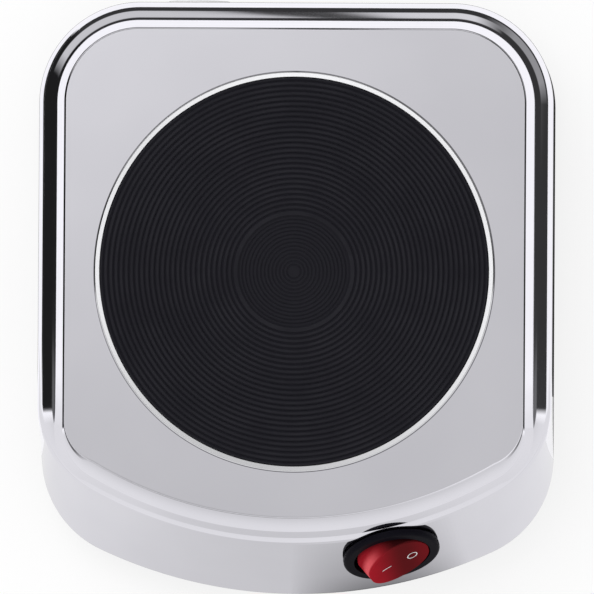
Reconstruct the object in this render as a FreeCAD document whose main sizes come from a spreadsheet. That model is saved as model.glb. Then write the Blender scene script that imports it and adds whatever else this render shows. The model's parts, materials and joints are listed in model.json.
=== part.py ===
import FreeCAD, Part
import math
import os
import re
import Sketcher

# Small electric hot plate. Millimetres; +Z up, the front wall with the switch faces -Y,
# the origin lies on the ground under the middle of the whole object.

Vector = FreeCAD.Vector
Rotation = FreeCAD.Rotation
Placement = FreeCAD.Placement
doc = FreeCAD.newDocument("hot_plate")
sheet = doc.addObject("Spreadsheet::Sheet", "dims")

SIZES = (
    # housing shell
    ("housing_width", "128.8", "width over the side walls"),
    ("housing_depth", "147.75", "back wall to the foot of the front wall"),
    ("housing_foot", "11", "height of the lower edge of the walls"),
    ("panel_height", "43.2", "height of the raised top panel"),
    ("sheet_metal", "0.8", "thickness of the shell"),
    ("front_radius", "117", "bow of the front wall at its foot"),
    ("front_run", "13.4", "how far the front wall leans back"),
    ("back_corner", "25.4", "radius of the back corners"),
    ("front_corner", "26", "radius of the front corners"),
    ("shoulder_roll", "5.3", "radius of the rolled shoulder"),
    ("panel_rise", "3.1", "step from the shoulder up to the panel"),
    ("panel_inset", "4.65", "side and back wall to the foot of the step"),
    ("panel_front_inset", "1", "shoulder line to the foot of the step at the front"),
    ("panel_back_corner", "20.75", "back corner radius of the step"),
    ("panel_front_corner", "15", "front corner radius of the step"),
    ("riser_angle", "55", "slope of the step in degrees"),
    ("riser_root", "1.5", "how deep the step is rooted under the shoulder line"),
    ("panel_edge", "0.7", "rounded upper edge of the step at the sides and back"),
    ("panel_front_edge", "4.8", "the same edge at the bowed front"),
    ("lip_width", "7", "flange turned in at the foot of the walls"),
    # plate and trim ring
    ("plate_shift", "5.925", "plate centre towards the back"),
    ("plate_radius", "48.5", "radius of the plate"),
    ("plate_rise", "1.8", "plate face above the panel"),
    ("plate_thick", "7.6", "thickness of the plate"),
    ("plate_edge", "0.25", "bevel round the plate face"),
    ("plate_gap", "0.2", "plate to trim ring"),
    ("ridge_start", "15.45", "radius of the first groove"),
    ("ridge_pitch", "1.29", "step between the grooves"),
    ("groove_width", "0.8", "width of a groove"),
    ("groove_depth", "0.35", "depth of a groove"),
    ("groove_overrun", "0.25", "part of its depth that a groove section stands above the face"),
    ("centre_radius", "13.9", "radius of the sunk centre"),
    ("centre_drop", "0.5", "depth of the sunk centre"),
    ("centre_start", "1.72", "radius of the first fine groove"),
    ("centre_pitch", "0.94", "step between the fine grooves"),
    ("fine_width", "0.55", "width of a fine groove"),
    ("fine_depth", "0.2", "depth of a fine groove"),
    ("boss_radius", "7", "boss under the plate"),
    ("ring_outer", "50", "outer radius of the trim ring"),
    ("ring_rise", "1.3", "trim ring above the panel"),
    ("ring_fall", "0.08", "fall of its top face towards the outside"),
    ("ring_round", "0.35", "rounded outer edge of the trim ring"),
    ("ring_skirt", "49.5", "radius of the skirt that passes the panel"),
    ("ring_metal", "0.8", "thickness of the lip that carries the plate"),
    ("ring_lip", "46.5", "inner radius of that lip"),
    ("fit_gap", "0.1", "clearance of pieces that pass through a hole"),
    ("touch_gap", "0.05", "clearance of pieces that lie on each other"),
    # heater under the plate
    ("tube_radius", "2.75", "sheath of the heating element"),
    ("spiral_start", "16", "radius where the spiral starts"),
    ("spiral_pitch", "9", "step between its turns"),
    ("turn_gap", "0.4", "least gap between its turns"),
    ("leg_bend", "4.8", "bend from the spiral into a leg"),
    ("bend_room", "1.6", "room for that bend in the insulation disc"),
    ("leg_end", "21", "height of the leg ends"),
    ("insulation_radius", "43", "radius of the insulation disc"),
    ("insulation_thick", "2", "thickness of the insulation disc"),
    ("shield_metal", "0.7", "thickness of the heat shield"),
    ("shield_floor", "44", "radius of the shield floor"),
    ("shield_rim", "49.2", "radius of the shield rim"),
    ("bush_outer", "4.6", "radius of a ceramic bush in the shield"),
    ("bush_flange", "6", "radius of the flange of a bush"),
    ("bush_drop", "3", "length of a bush under the shield"),
    # stud and nuts
    ("stud_radius", "2.5", "centre stud"),
    ("stud_end", "3.6", "height of the lower stud end"),
    ("stud_depth", "4", "length of the stud inside the plate"),
    ("nut_corner", "4.62", "half the width of a nut over its corners"),
    ("nut_height", "4", "height of a nut"),
    ("washer_radius", "6.5", "radius of a washer"),
    ("washer_thick", "1", "thickness of a washer"),
    # base and feet
    ("base_metal", "1", "thickness of the base plate"),
    ("base_inset", "1.5", "base plate inside the walls"),
    ("vent_length", "30", "length of a vent slot"),
    ("vent_width", "3.2", "width of a vent slot"),
    ("vent_spread", "0.238", "part of the housing depth that the vents cover"),
    ("vent_inset", "35", "middle of a vent group in from the side wall"),
    ("vent_gap", "9", "last vent slot in front of the middle of the earth tag"),
    ("foot_top", "8", "upper radius of a foot"),
    ("foot_bottom", "7", "lower radius of a foot"),
    ("foot_inset", "19", "feet in from the side walls"),
    ("foot_back_inset", "26.25", "back feet in from the back wall"),
    ("foot_front_inset", "32.75", "front feet in from the foot of the front wall"),
    ("foot_seat", "5", "height of the screw seat in a foot"),
    ("screw_radius", "1.5", "shank of a sheet screw"),
    ("screw_head", "2.9", "head of a sheet screw"),
    ("head_height", "1.8", "height of a screw head"),
    ("screw_reach", "3", "screw end past the sheet it holds"),
    ("screw_inset", "4.5", "base screws in from the side walls"),
    ("screw_back_inset", "42.25", "back base screws in from the back wall"),
    ("screw_front_inset", "52.75", "front base screws in from the foot of the front wall"),
    # cord gland
    ("gland_side", "-25", "gland from the centre line"),
    ("gland_height", "22", "height of the gland"),
    ("gland_head", "0.7", "collar outside the back wall"),
    ("gland_collar", "8", "radius of the collars"),
    ("gland_neck", "5.6", "radius of the neck in the wall"),
    ("gland_bore", "3.4", "radius of the cord hole"),
    ("gland_tail", "4", "length inside the back wall"),
    # terminal block and earth
    ("block_length", "32", "length of the terminal block"),
    ("block_width", "14", "width of the terminal block"),
    ("block_height", "12", "height of the terminal block"),
    ("block_inset", "28.25", "middle of the block in from the back wall"),
    ("pole_pitch", "8", "step between its poles"),
    ("clamp_radius", "2", "clamp screw of a pole"),
    ("clamp_height", "1.2", "clamp screw above the block"),
    ("tag_length", "12", "length of the earth tag"),
    ("tag_width", "7", "width of the earth tag"),
    ("tag_gap", "27", "middle of the earth tag in front of the middle of the block"),
    ("tab_metal", "0.8", "thickness of tabs and terminals"),
    # thermal cut-out
    ("cutout_side", "26", "cut-out from the centre line"),
    ("cutout_back", "16", "cut-out towards the back"),
    ("cutout_radius", "8", "radius of the cut-out"),
    ("cutout_height", "7", "height of its upper part"),
    ("cutout_neck", "6", "radius of its lower part"),
    ("cutout_drop", "3", "height of its lower part"),
    ("ear_reach", "12", "screw of an ear from the middle"),
    ("ear_width", "6", "width of the ears"),
    ("tab_reach", "14", "end of a tab from the middle"),
    ("tab_width", "4.8", "width of tabs and terminals"),
    # switch, sizes along its own axis
    ("switch_turn", "12.8", "place on the bowed front in degrees"),
    ("switch_down", "13.2", "centre from the shoulder line along the wall"),
    ("seat_proud", "0.12", "flat switch seat in front of the bowed wall"),
    ("bezel_radius", "12.25", "radius of the bezel"),
    ("bezel_thick", "1.5", "bezel in front of the wall"),
    ("bezel_round", "0.9", "rounded edge of the bezel"),
    ("collar_radius", "10.6", "barrel through the wall"),
    ("mouth_radius", "9.7", "opening round the rocker"),
    ("barrel_depth", "7.2", "barrel behind the wall"),
    ("mouth_depth", "6.4", "round hollow behind the wall"),
    ("box_length", "19", "switch box, across"),
    ("box_width", "13", "switch box, up the wall"),
    ("box_depth", "17.4", "back of the box behind the wall"),
    ("box_wall", "1.2", "walls of the box"),
    ("pivot_depth", "1.6", "rocker pivot behind the wall"),
    ("pivot_radius", "1.25", "trunnion of the rocker"),
    ("pivot_reach", "10.2", "trunnion end from the middle"),
    ("pivot_gap", "0.05", "running clearance of the trunnion"),
    ("rocker_radius", "8.2", "round outline of the rocker"),
    ("rocker_half", "8.1", "half length of the rocker face"),
    ("rocker_face", "3.9", "ends of the rocker face in front of the wall"),
    ("rocker_dish", "0.6", "hollow of the rocker face"),
    ("rocker_flank", "9.1", "flared flank of the rocker at its pivot"),
    ("rocker_foot", "4.6", "underside of the rocker behind the wall"),
    ("rocker_base", "5.6", "half length of that underside"),
    ("rocker_tilt", "17", "rocker to each side in degrees"),
    ("nose_radius", "1.4", "nose that pushes the contact"),
    ("nose_reach", "8", "centre of the nose tip behind the wall"),
    ("lamp_side", "4.3", "lamp from the middle of the rocker"),
    ("lamp_front", "0.5", "lamp in front of the wall line"),
    ("lamp_radius", "1.6", "radius of the lamp"),
    ("lamp_length", "7", "length of the lamp"),
    ("lamp_room", "0.2", "room round the lamp"),
    ("lever_axis", "10.9", "fulcrum behind the wall"),
    ("fulcrum_radius", "0.5", "rounded fulcrum ridge"),
    ("lever_metal", "0.6", "thickness of the contact lever"),
    ("lever_half", "6.2", "half length of the contact lever"),
    ("lever_width", "4", "width of the contact lever"),
    ("lever_tilt", "6", "lever to each side in degrees"),
    ("contact_side", "5.2", "contacts from the middle"),
    ("contact_radius", "1.1", "radius of a contact stud"),
    ("contact_height", "0.5", "height of a contact stud"),
    ("load_top", "11.7", "load contact face behind the wall"),
    ("lamp_top", "13", "upper end of the lamp terminal behind the wall"),
    ("terminal_end", "25", "terminal ends behind the wall"),
    # leads
    ("lead_radius", "1.1", "insulated lead"),
    ("lead_bend", "4", "bend of a lead"),
    ("live_turn", "-26", "turn of the live lead from the centre"),
    ("lamp_turn", "-34", "turn of the lamp lead from the centre"),
    ("lamp_shift", "4", "lamp lead beside the neutral lead"),
    ("tab_run", "10", "straight end of the switched lead at its tab"),
    ("leg_clear", "6", "element lead past the end of its tab"),
)
RIDGE_GROOVES = 26
FINE_GROOVES = 13
HALF_TURNS = 5
VENTS = 6
SAME_PLACE = 0.001

for row, (alias, value, meaning) in enumerate(SIZES, start=1):
    sheet.set("A" + str(row), meaning)
    sheet.set("B" + str(row), value)
    sheet.setAlias("B" + str(row), alias)
doc.recompute()
NAMES = set(alias for alias, value, meaning in SIZES)

# Sizes that follow from others, written as formulas in the sheet's names
SHORTHANDS = {
    "back_y": "((housing_depth - gland_head) / 2)",
    "front_y": "(-(housing_depth + gland_head) / 2)",
    "bow_y": "(front_y + front_radius)",
    "shoulder_z": "(panel_height - panel_rise)",
    "wall_lean": "atan(front_run / (shoulder_z - housing_foot))",
    "plate_top": "(panel_height + plate_rise)",
    "plate_under": "(plate_top - plate_thick)",
    "ring_inner": "(plate_radius + plate_gap)",
    "lip_under": "(plate_under - ring_metal)",
    "panel_hole": "(ring_skirt + fit_gap)",
    "tube_z": "(plate_under - touch_gap - tube_radius)",
    "insulation_top": "(tube_z - tube_radius - touch_gap)",
    "shield_top": "(insulation_top - insulation_thick)",
    "shield_under": "(shield_top - shield_metal)",
    "base_under": "(housing_foot - base_metal)",
    "stud_hole": "(stud_radius + fit_gap)",
    "bush_hole": "(bush_outer + fit_gap)",
    "leg_hole": "(tube_radius + fit_gap)",
    "screw_hole": "(screw_radius + fit_gap)",
    "switch_hole": "(collar_radius + fit_gap)",
    "gland_hole": "(gland_neck + fit_gap)",
    "block_top": "(housing_foot + block_height)",
    "block_back": "(back_y - block_inset)",
    "tag_back": "(block_back - tag_gap)",
    "foot_side": "(housing_width / 2 - foot_inset)",
    "foot_back": "(back_y - foot_back_inset)",
    "foot_front": "(front_y + foot_front_inset)",
    "screw_side": "(housing_width / 2 - screw_inset)",
    "screw_back": "(back_y - screw_back_inset)",
    "screw_front": "(front_y + screw_front_inset)",
    "vent_side": "(housing_width / 2 - vent_inset)",
    "leg_room": "(tube_radius + bend_room)",
}


def formula(text):
    """Formula with shorthands written out and each size named as a cell of the sheet."""
    found = True
    while found:
        found = False
        for word, meaning in SHORTHANDS.items():
            text, count = re.subn(r"\b" + word + r"\b", meaning, text)
            found = found or count > 0
    return re.sub(r"[a-z_]+", lambda m: "dims." + m.group(0) if m.group(0) in NAMES else m.group(0), text)


def size(text):
    """Number that a formula gives now."""
    answer = sheet.evalExpression(formula(text))
    return float(getattr(answer, "Value", answer))


def bind(thing, **properties):
    for name, text in properties.items():
        thing.setExpression(name, formula(text))
    return thing


def put(thing, x="0", y="0", z="0"):
    thing.setExpression("Placement.Base.x", formula(x))
    thing.setExpression("Placement.Base.y", formula(y))
    thing.setExpression("Placement.Base.z", formula(z))
    return thing


# Sketches and features of a body
def new_body(label):
    made = doc.addObject("PartDesign::Body", label)
    made.Label = label
    return made


def new_sketch(body, plane="XY_Plane", lift="0"):
    made = body.newObject("Sketcher::SketchObject", body.Name + "_sketch")
    planes = [one for one in body.Origin.OriginFeatures if one.Role == plane]
    made.AttachmentSupport = [(planes[0], "")]
    made.MapMode = "FlatFace"
    made.setExpression("AttachmentOffset.Base.z", formula(lift))
    return made


def pin_point(sketch, rules, edge, end, x, y):
    rules.append((Sketcher.Constraint("DistanceX", edge, end, size(x)), x))
    rules.append((Sketcher.Constraint("DistanceY", edge, end, size(y)), y))


def add_rules(sketch, rules):
    start = sketch.ConstraintCount
    sketch.addConstraint([rule for rule, text in rules])
    for place, (rule, text) in enumerate(rules):
        if text is not None:
            sketch.setExpression("Constraints[" + str(start + place) + "]", formula(text))


def draw(sketch, corners):
    """Closed outline. A corner is (x, y), or (x, y, radius, turn) when an arc leads on from it;
    turn is 1 for an arc to the left and -1 for one to the right."""
    first = sketch.GeometryCount
    points = [Vector(size(corner[0]), size(corner[1]), 0) for corner in corners]
    edges = []
    starts = []
    rules = []
    for i, corner in enumerate(corners):
        here = points[i]
        there = points[(i + 1) % len(points)]
        if len(corner) == 2:
            edges.append(Part.LineSegment(here, there))
            starts.append((1, 2))
            continue
        radius = size(corner[2])
        chord = there.sub(here)
        rise = math.sqrt(max(0, radius ** 2 - chord.Length ** 2 / 4))
        side = Vector(-chord.y, chord.x, 0).normalize() * (rise * corner[3])
        centre = (here + there) * 0.5 + side
        ends = (here, there) if corner[3] > 0 else (there, here)
        low = math.atan2(ends[0].y - centre.y, ends[0].x - centre.x)
        high = math.atan2(ends[1].y - centre.y, ends[1].x - centre.x)
        if high < low:
            high += 2 * math.pi
        edges.append(Part.ArcOfCircle(Part.Circle(centre, Vector(0, 0, 1), radius), low, high))
        starts.append((1, 2) if corner[3] > 0 else (2, 1))
    sketch.addGeometry(edges, False)
    for i, corner in enumerate(corners):
        after = (i + 1) % len(corners)
        meet = Sketcher.Constraint("Coincident", first + i, starts[i][1], first + after, starts[after][0])
        rules.append((meet, None))
    for i, corner in enumerate(corners):
        pin_point(sketch, rules, first + i, starts[i][0], corner[0], corner[1])
        if len(corner) > 2:
            rules.append((Sketcher.Constraint("Radius", first + i, size(corner[2])), corner[2]))
    add_rules(sketch, rules)


def circle(sketch, x, y, radius):
    edge = sketch.GeometryCount
    sketch.addGeometry(Part.Circle(Vector(size(x), size(y), 0), Vector(0, 0, 1), size(radius)), False)
    rules = []
    pin_point(sketch, rules, edge, 3, x, y)
    rules.append((Sketcher.Constraint("Radius", edge, size(radius)), radius))
    add_rules(sketch, rules)


def rectangle(sketch, left, right, low, high):
    draw(sketch, [(left, low), (right, low), (right, high), (left, high)])


def slot(sketch, left, right, y, radius):
    """Slot along X with round ends, each end in two quarter arcs."""
    low = y + " - " + radius
    high = y + " + " + radius
    draw(sketch, [(left, low), (right, low, radius, 1), (right + " + " + radius, y, radius, 1), (right, high),
                  (left, high, radius, 1), (left + " - " + radius, y, radius, 1)])


def feature(body, kind, sketch, **properties):
    made = body.newObject("PartDesign::" + kind, body.Name + "_" + kind.lower())
    made.Profile = sketch
    sketch.Visibility = False
    for name, value in properties.items():
        if isinstance(value, str):
            made.setExpression(name, formula(value))
        else:
            setattr(made, name, value)
    return made


def pad(body, sketch, length, **more):
    return feature(body, "Pad", sketch, Length=length, **more)


def pocket(body, sketch, length, **more):
    return feature(body, "Pocket", sketch, Length=length, **more)


def spin(body, sketch, kind="Revolution"):
    made = feature(body, kind, sketch)
    made.ReferenceAxis = (sketch, ["V_Axis"])
    made.Angle = 360
    return made


def turned(label, corners, y="0", x="0"):
    """Body turned round a vertical axis from corners given as radius and height."""
    body = new_body(label)
    sketch = new_sketch(body, "XZ_Plane")
    draw(sketch, corners)
    spin(body, sketch)
    put(body, x, y)
    return body


def tube_section(inner, outer, low, high):
    return [(inner, low), (outer, low), (outer, high), (inner, high)]


def edges_at(shape, low, high, test=None):
    """Numbers of the edges that lie wholly between two heights."""
    chosen = []
    for number, edge in enumerate(shape.Edges, start=1):
        box = edge.BoundBox
        level = box.ZMin > low - SAME_PLACE and box.ZMax < high + SAME_PLACE
        if level and (test is None or test(edge)):
            chosen.append(number)
    return chosen


def rounded(base, name, numbers, radius):
    made = doc.addObject("Part::Fillet", name)
    made.Base = base
    made.Edges = [(number, size(radius), size(radius)) for number in numbers]
    doc.recompute()
    return made


def joined(kind, name, base, tool):
    made = doc.addObject("Part::" + kind, name)
    made.Base = base
    made.Tool = tool
    return made


PIECES = []


def keep(thing, label):
    thing.Label = label
    PIECES.append(thing)
    return thing


# Housing shell: an outer dome less an inner dome that is one sheet thickness smaller
def house_outline(width, back, back_corner, front, bow, front_corner):
    """Corners of the straight-sided outline with a bowed front, as formulas."""
    bow_middle = "(" + front + " + " + bow + ")"
    side = "(" + width + " - " + front_corner + ")"
    span = "(" + bow + " - " + front_corner + ")"
    drop = "sqrt(" + span + " ^ 2 - " + side + " ^ 2)"
    corner_y = bow_middle + " - " + drop
    touch_x = side + " * " + bow + " / " + span
    touch_y = bow_middle + " - " + drop + " * " + bow + " / " + span
    in_x = width + " - " + back_corner
    in_y = back + " - " + back_corner
    return [(width, corner_y), (width, in_y, back_corner, 1), (in_x, back),
            ("-(" + in_x + ")", back, back_corner, 1),
            ("-(" + width + ")", in_y), ("-(" + width + ")", corner_y, front_corner, 1),
            ("-(" + touch_x + ")", touch_y, bow, 1), (touch_x, touch_y, front_corner, 1)]


def rounded_step(base, name, numbers, inset):
    """Upper edge of the step, rounded more along the bowed front and evening out round its corners."""
    narrow = size("panel_edge - " + inset + " / 2")
    wide = size("panel_front_edge - " + inset + " / 2")
    edges = {number: base.Shape.Edges[number - 1] for number in numbers}
    bow = max(edges.values(), key=lambda edge: getattr(edge.Curve, "Radius", 0))
    ends = [vertex.Point for vertex in bow.Vertexes]

    def radius_at(point):
        return wide if any(point.isEqual(end, SAME_PLACE) for end in ends) else narrow

    made = doc.addObject("Part::Fillet", name)
    made.Base = base
    made.Edges = [(number, radius_at(edge.valueAt(edge.FirstParameter)),
                   radius_at(edge.valueAt(edge.LastParameter))) for number, edge in edges.items()]
    doc.recompute()
    return made


def dome(name, inset, low):
    """Solid under the shell's surface moved in by inset, from the height low upwards."""
    top = "(shoulder_z - " + inset + ")"
    low = "(" + low + ")"
    climb = "(" + low + " - housing_foot)"
    cone_foot = "(front_radius - " + inset + " / cos(wall_lean) - " + climb + " * tan(wall_lean))"
    block = doc.addObject("Part::Box", name + "_block")
    bind(block, Length="housing_width - 2 * " + inset, Width="back_y - " + inset + " - front_y",
         Height=top + " - " + low)
    put(block, "-housing_width / 2 + " + inset, "front_y", low)
    bow = doc.addObject("Part::Cone", name + "_bow")
    bind(bow, Radius1=cone_foot, Radius2=cone_foot + " - (" + top + " - " + low + ") * tan(wall_lean)",
         Height=top + " - " + low)
    put(bow, "0", "bow_y", low)
    walls = joined("Common", name + "_walls", block, bow)
    doc.recompute()
    low_z = size(low)
    top_z = size(top)

    def upright(edge):
        return edge.BoundBox.ZLength > (top_z - low_z) / 2

    back = edges_at(walls.Shape, low_z, top_z, lambda edge: upright(edge) and edge.BoundBox.YMin > 0)
    with_back = rounded(walls, name + "_back", back, "back_corner - " + inset)
    front = edges_at(with_back.Shape, low_z, top_z, lambda edge: upright(edge) and edge.BoundBox.YMax < 0)
    with_front = rounded(with_back, name + "_front", front, "front_corner - " + inset)
    rim = edges_at(with_front.Shape, top_z, top_z)
    with_roll = rounded(with_front, name + "_roll", rim, "shoulder_roll - " + inset)

    step = new_body(name + "_step")
    step_top = "(panel_height - " + inset + ")"
    sketches = []
    for level in (top + " - riser_root", step_top):
        # a sloping face moved in square to itself shifts sideways by half-angle proportion
        out = "((" + top + " - (" + level + ")) / tan(riser_angle) - " + inset + " * tan(riser_angle / 2))"
        sketch = new_sketch(step, "XY_Plane", level)
        draw(sketch, house_outline("(housing_width / 2 - panel_inset + " + out + ")",
                                   "(back_y - panel_inset + " + out + ")",
                                   "(panel_back_corner + " + out + ")",
                                   "(front_y + front_run + panel_front_inset - " + out + ")",
                                   "(front_radius - front_run - panel_front_inset + " + out + ")",
                                   "(panel_front_corner + " + out + ")"))
        sketches.append(sketch)
    loft = feature(step, "AdditiveLoft", sketches[0])
    loft.Sections = [sketches[1]]
    loft.Ruled = True
    stepped = joined("Fuse", name + "_stepped", with_roll, step)
    doc.recompute()
    step_z = size(step_top)
    return rounded_step(stepped, name, edges_at(stepped.Shape, step_z, step_z), inset)


outer = dome("outer_dome", "0", "housing_foot")
inner = dome("inner_dome", "sheet_metal", "housing_foot + sheet_metal")
sheet_form = joined("Cut", "sheet_form", outer, inner)

# The switch sits square to the leaning front wall; its own frame has Z out of the wall, X across
# and Y up the wall
lean = size("wall_lean")
turn = size("switch_turn")
seat_out = size("front_radius - front_run + switch_down * sin(wall_lean)")
seat = Vector(seat_out * math.sin(math.radians(turn)),
              size("bow_y") - seat_out * math.cos(math.radians(turn)),
              size("shoulder_z - switch_down * cos(wall_lean)"))
wall_turn = Rotation(Vector(0, 0, 1), turn).multiply(Rotation(Vector(1, 0, 0), 90 - lean))
seat += wall_turn.multVec(Vector(0, 0, size("seat_proud")))
SWITCH = Placement(seat, wall_turn)


def switch_cylinder(name, radius, low, high):
    made = doc.addObject("Part::Cylinder", name)
    bind(made, Radius=radius, Height="(" + high + ") - (" + low + ")")
    made.Placement = SWITCH.multiply(Placement(Vector(0, 0, size(low)), Rotation()))
    return made


seat_pad = switch_cylinder("seat_pad", "bezel_radius - 2 * fit_gap", "-sheet_metal", "0")
with_seat = joined("Fuse", "with_seat", sheet_form, seat_pad)
cutters = [switch_cylinder("switch_cutter", "switch_hole", "-2 * barrel_depth", "bezel_thick")]

plate_cutter = doc.addObject("Part::Cylinder", "plate_cutter")
bind(plate_cutter, Radius="panel_hole", Height="2 * panel_rise")
cutters.append(put(plate_cutter, "0", "plate_shift", "panel_height - panel_rise"))

gland_cutter = doc.addObject("Part::Cylinder", "gland_cutter")
bind(gland_cutter, Radius="gland_hole", Height="4 * sheet_metal")
put(gland_cutter, "gland_side", "back_y + 2 * sheet_metal", "gland_height")
gland_cutter.Placement.Rotation = Rotation(Vector(1, 0, 0), 90)
cutters.append(gland_cutter)

floor_opening = new_body("floor_opening")
opening_sketch = new_sketch(floor_opening, "XY_Plane", "housing_foot - sheet_metal")
draw(opening_sketch, house_outline("(housing_width / 2 - lip_width)", "(back_y - lip_width)",
                                   "(back_corner - lip_width)", "(front_y + lip_width)",
                                   "(front_radius - lip_width)", "(front_corner - lip_width)"))
pad(floor_opening, opening_sketch, "3 * sheet_metal")
cutters.append(floor_opening)

SCREW_PLACES = [(side + "screw_side", back) for side in ("", "-") for back in ("screw_back", "screw_front")]
for number, (x, y) in enumerate(SCREW_PLACES):
    drill = doc.addObject("Part::Cylinder", "lip_drill_" + str(number))
    bind(drill, Radius="screw_hole", Height="3 * sheet_metal")
    cutters.append(put(drill, x, y, "housing_foot - sheet_metal"))

all_cutters = doc.addObject("Part::MultiFuse", "shell_cutters")
all_cutters.Shapes = cutters
keep(joined("Cut", "housing_shell", with_seat, all_cutters), "housing_shell")

# Heating plate: turned blank with a sunk centre, then concentric V grooves turned into its face
STUD_ROOF = "plate_under + stud_depth + touch_gap"
BOSS_UNDER = "insulation_top + touch_gap"
plate = turned("heating_plate", [
    ("0", STUD_ROOF), ("stud_radius + touch_gap", STUD_ROOF),
    ("stud_radius + touch_gap", BOSS_UNDER), ("boss_radius", BOSS_UNDER),
    ("boss_radius", "plate_under"), ("plate_radius", "plate_under"),
    ("plate_radius", "plate_top - plate_edge"), ("plate_radius - plate_edge", "plate_top"),
    ("centre_radius + centre_drop / 2", "plate_top"),
    ("centre_radius - centre_drop / 2", "plate_top - centre_drop"),
    ("0", "plate_top - centre_drop")], "plate_shift")
grooves = new_sketch(plate, "XZ_Plane")


def v_grooves(count, start, pitch, width, depth, face):
    """V shapes whose flanks run on a little above the face."""
    half = " (1 + groove_overrun) / 2 * " + width
    above = face + " + groove_overrun * " + depth
    for k in range(count):
        middle = start + " + " + str(k) + " * " + pitch
        draw(grooves, [(middle + " -" + half, above), (middle, face + " - " + depth),
                       (middle + " +" + half, above)])


v_grooves(RIDGE_GROOVES, "ridge_start", "ridge_pitch", "groove_width", "groove_depth", "plate_top")
v_grooves(FINE_GROOVES, "centre_start", "centre_pitch", "fine_width", "fine_depth", "plate_top - centre_drop")
spin(plate, grooves, "Groove")
keep(plate, "heating_plate")

# Trim ring: rim on the panel, skirt through the panel, lip that carries the plate
RIM_TOP = "panel_height + ring_rise"
ROUND_TOP = RIM_TOP + " - ring_fall"
keep(turned("trim_ring", [
    ("ring_lip", "lip_under"), ("ring_skirt", "lip_under"), ("ring_skirt", "panel_height"),
    ("ring_outer", "panel_height"), ("ring_outer", ROUND_TOP + " - ring_round", "ring_round", 1),
    ("ring_outer - ring_round", ROUND_TOP), ("ring_inner", RIM_TOP),
    ("ring_inner", "plate_under"), ("ring_lip", "plate_under")], "plate_shift"), "trim_ring")


# Heating element: one sheathed tube, a spiral of half turns with a leg bent down at each end
def tube_along(edges, radius):
    path = Part.Wire([edge.toShape() for edge in edges])
    start = path.OrderedEdges[0]
    at = start.valueAt(start.FirstParameter)
    along = start.tangentAt(start.FirstParameter)
    ring = Part.Wire([Part.Circle(at, along, radius).toShape()])
    return path.makePipeShell([ring], True, False)


def element_path():
    bend = size("leg_bend")
    step = size("spiral_pitch") / 2
    height = size("tube_z")
    radius = size("spiral_start")
    middle = Vector(0, size("plate_shift"), height)
    low = size("leg_end")

    def leg_arc(x, y):
        """Quarter bend in the plane x from the spiral height down to the leg behind it."""
        lean_in = bend * math.sin(math.radians(45))
        drop = bend - bend * math.cos(math.radians(45))
        start = Vector(x, y, height)
        end = Vector(x, y - bend, height - bend)
        return (start, Vector(x, y - lean_in, height - drop), end)

    edges = []
    top, halfway, bottom = leg_arc(radius, middle.y)
    edges.append(Part.LineSegment(Vector(bottom.x, bottom.y, low), bottom))
    edges.append(Part.Arc(bottom, halfway, top))
    here = top
    for k in range(HALF_TURNS):
        way = 1 if k % 2 == 0 else -1
        far = Vector(here.x - way * 2 * radius, middle.y, height)
        over = Vector((here.x + far.x) / 2, middle.y + way * radius, height)
        edges.append(Part.Arc(here, over, far))
        here = far
        radius += step
    top, halfway, bottom = leg_arc(here.x, middle.y)
    edges.append(Part.Arc(top, halfway, bottom))
    edges.append(Part.LineSegment(bottom, Vector(bottom.x, bottom.y, low)))
    return edges


if size("spiral_pitch - 2 * tube_radius") < size("turn_gap"):
    raise RuntimeError("the turns of the heating element touch")
path = element_path()
element = doc.addObject("Part::Feature", "heating_element")
element.Shape = tube_along(path, size("tube_radius"))
keep(element, "heating_element")
LEG_Y = "(plate_shift - leg_bend)"
LEG_X = ("spiral_start", "-(spiral_start + " + str(HALF_TURNS - 1) + " * spiral_pitch / 2)")

# Insulation disc and heat shield, both pierced by the stud and the legs
disc_section = tube_section("stud_hole", "insulation_radius", "shield_top", "insulation_top")
insulation = turned("insulation_disc", disc_section, "plate_shift")
leg_holes = new_sketch(insulation, "XY_Plane", "insulation_top")
for x in LEG_X:
    circle(leg_holes, x, "-leg_bend", "leg_room")
pocket(insulation, leg_holes, "insulation_thick")
keep(insulation, "insulation_disc")

shield = turned("heat_shield", [
    ("stud_hole", "shield_under"), ("shield_floor", "shield_under"),
    ("ring_lip + shield_metal", "lip_under - shield_metal"),
    ("shield_rim", "lip_under - shield_metal"), ("shield_rim", "lip_under"), ("ring_lip", "lip_under"),
    ("shield_floor - shield_metal / 2", "shield_top"), ("stud_hole", "shield_top")], "plate_shift")
shield_holes = new_sketch(shield, "XY_Plane", "shield_top")
for x in LEG_X:
    circle(shield_holes, x, "-leg_bend", "bush_hole")
EAR_PLACES = [("cutout_side + ear_reach", "cutout_back - plate_shift"),
              ("cutout_side", "cutout_back - plate_shift + ear_reach")]
for x, y in EAR_PLACES:
    circle(shield_holes, x, y, "screw_hole")
pocket(shield, shield_holes, "2 * shield_metal")
keep(shield, "heat_shield")

for x, label in zip(LEG_X, ("bush_inner_leg", "bush_outer_leg")):
    bush = turned(label, [
        ("leg_hole", "shield_under - bush_drop"), ("bush_flange", "shield_under - bush_drop"),
        ("bush_flange", "shield_under"), ("bush_outer", "shield_under"), ("bush_outer", "shield_top"),
        ("leg_hole", "shield_top")], LEG_Y, x)
    keep(bush, label)

# Centre stud with its two nuts and washers
stud = doc.addObject("Part::Cylinder", "centre_stud")
bind(stud, Radius="stud_radius", Height="plate_under + stud_depth - stud_end")
keep(put(stud, "0", "plate_shift", "stud_end"), "centre_stud")


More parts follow.
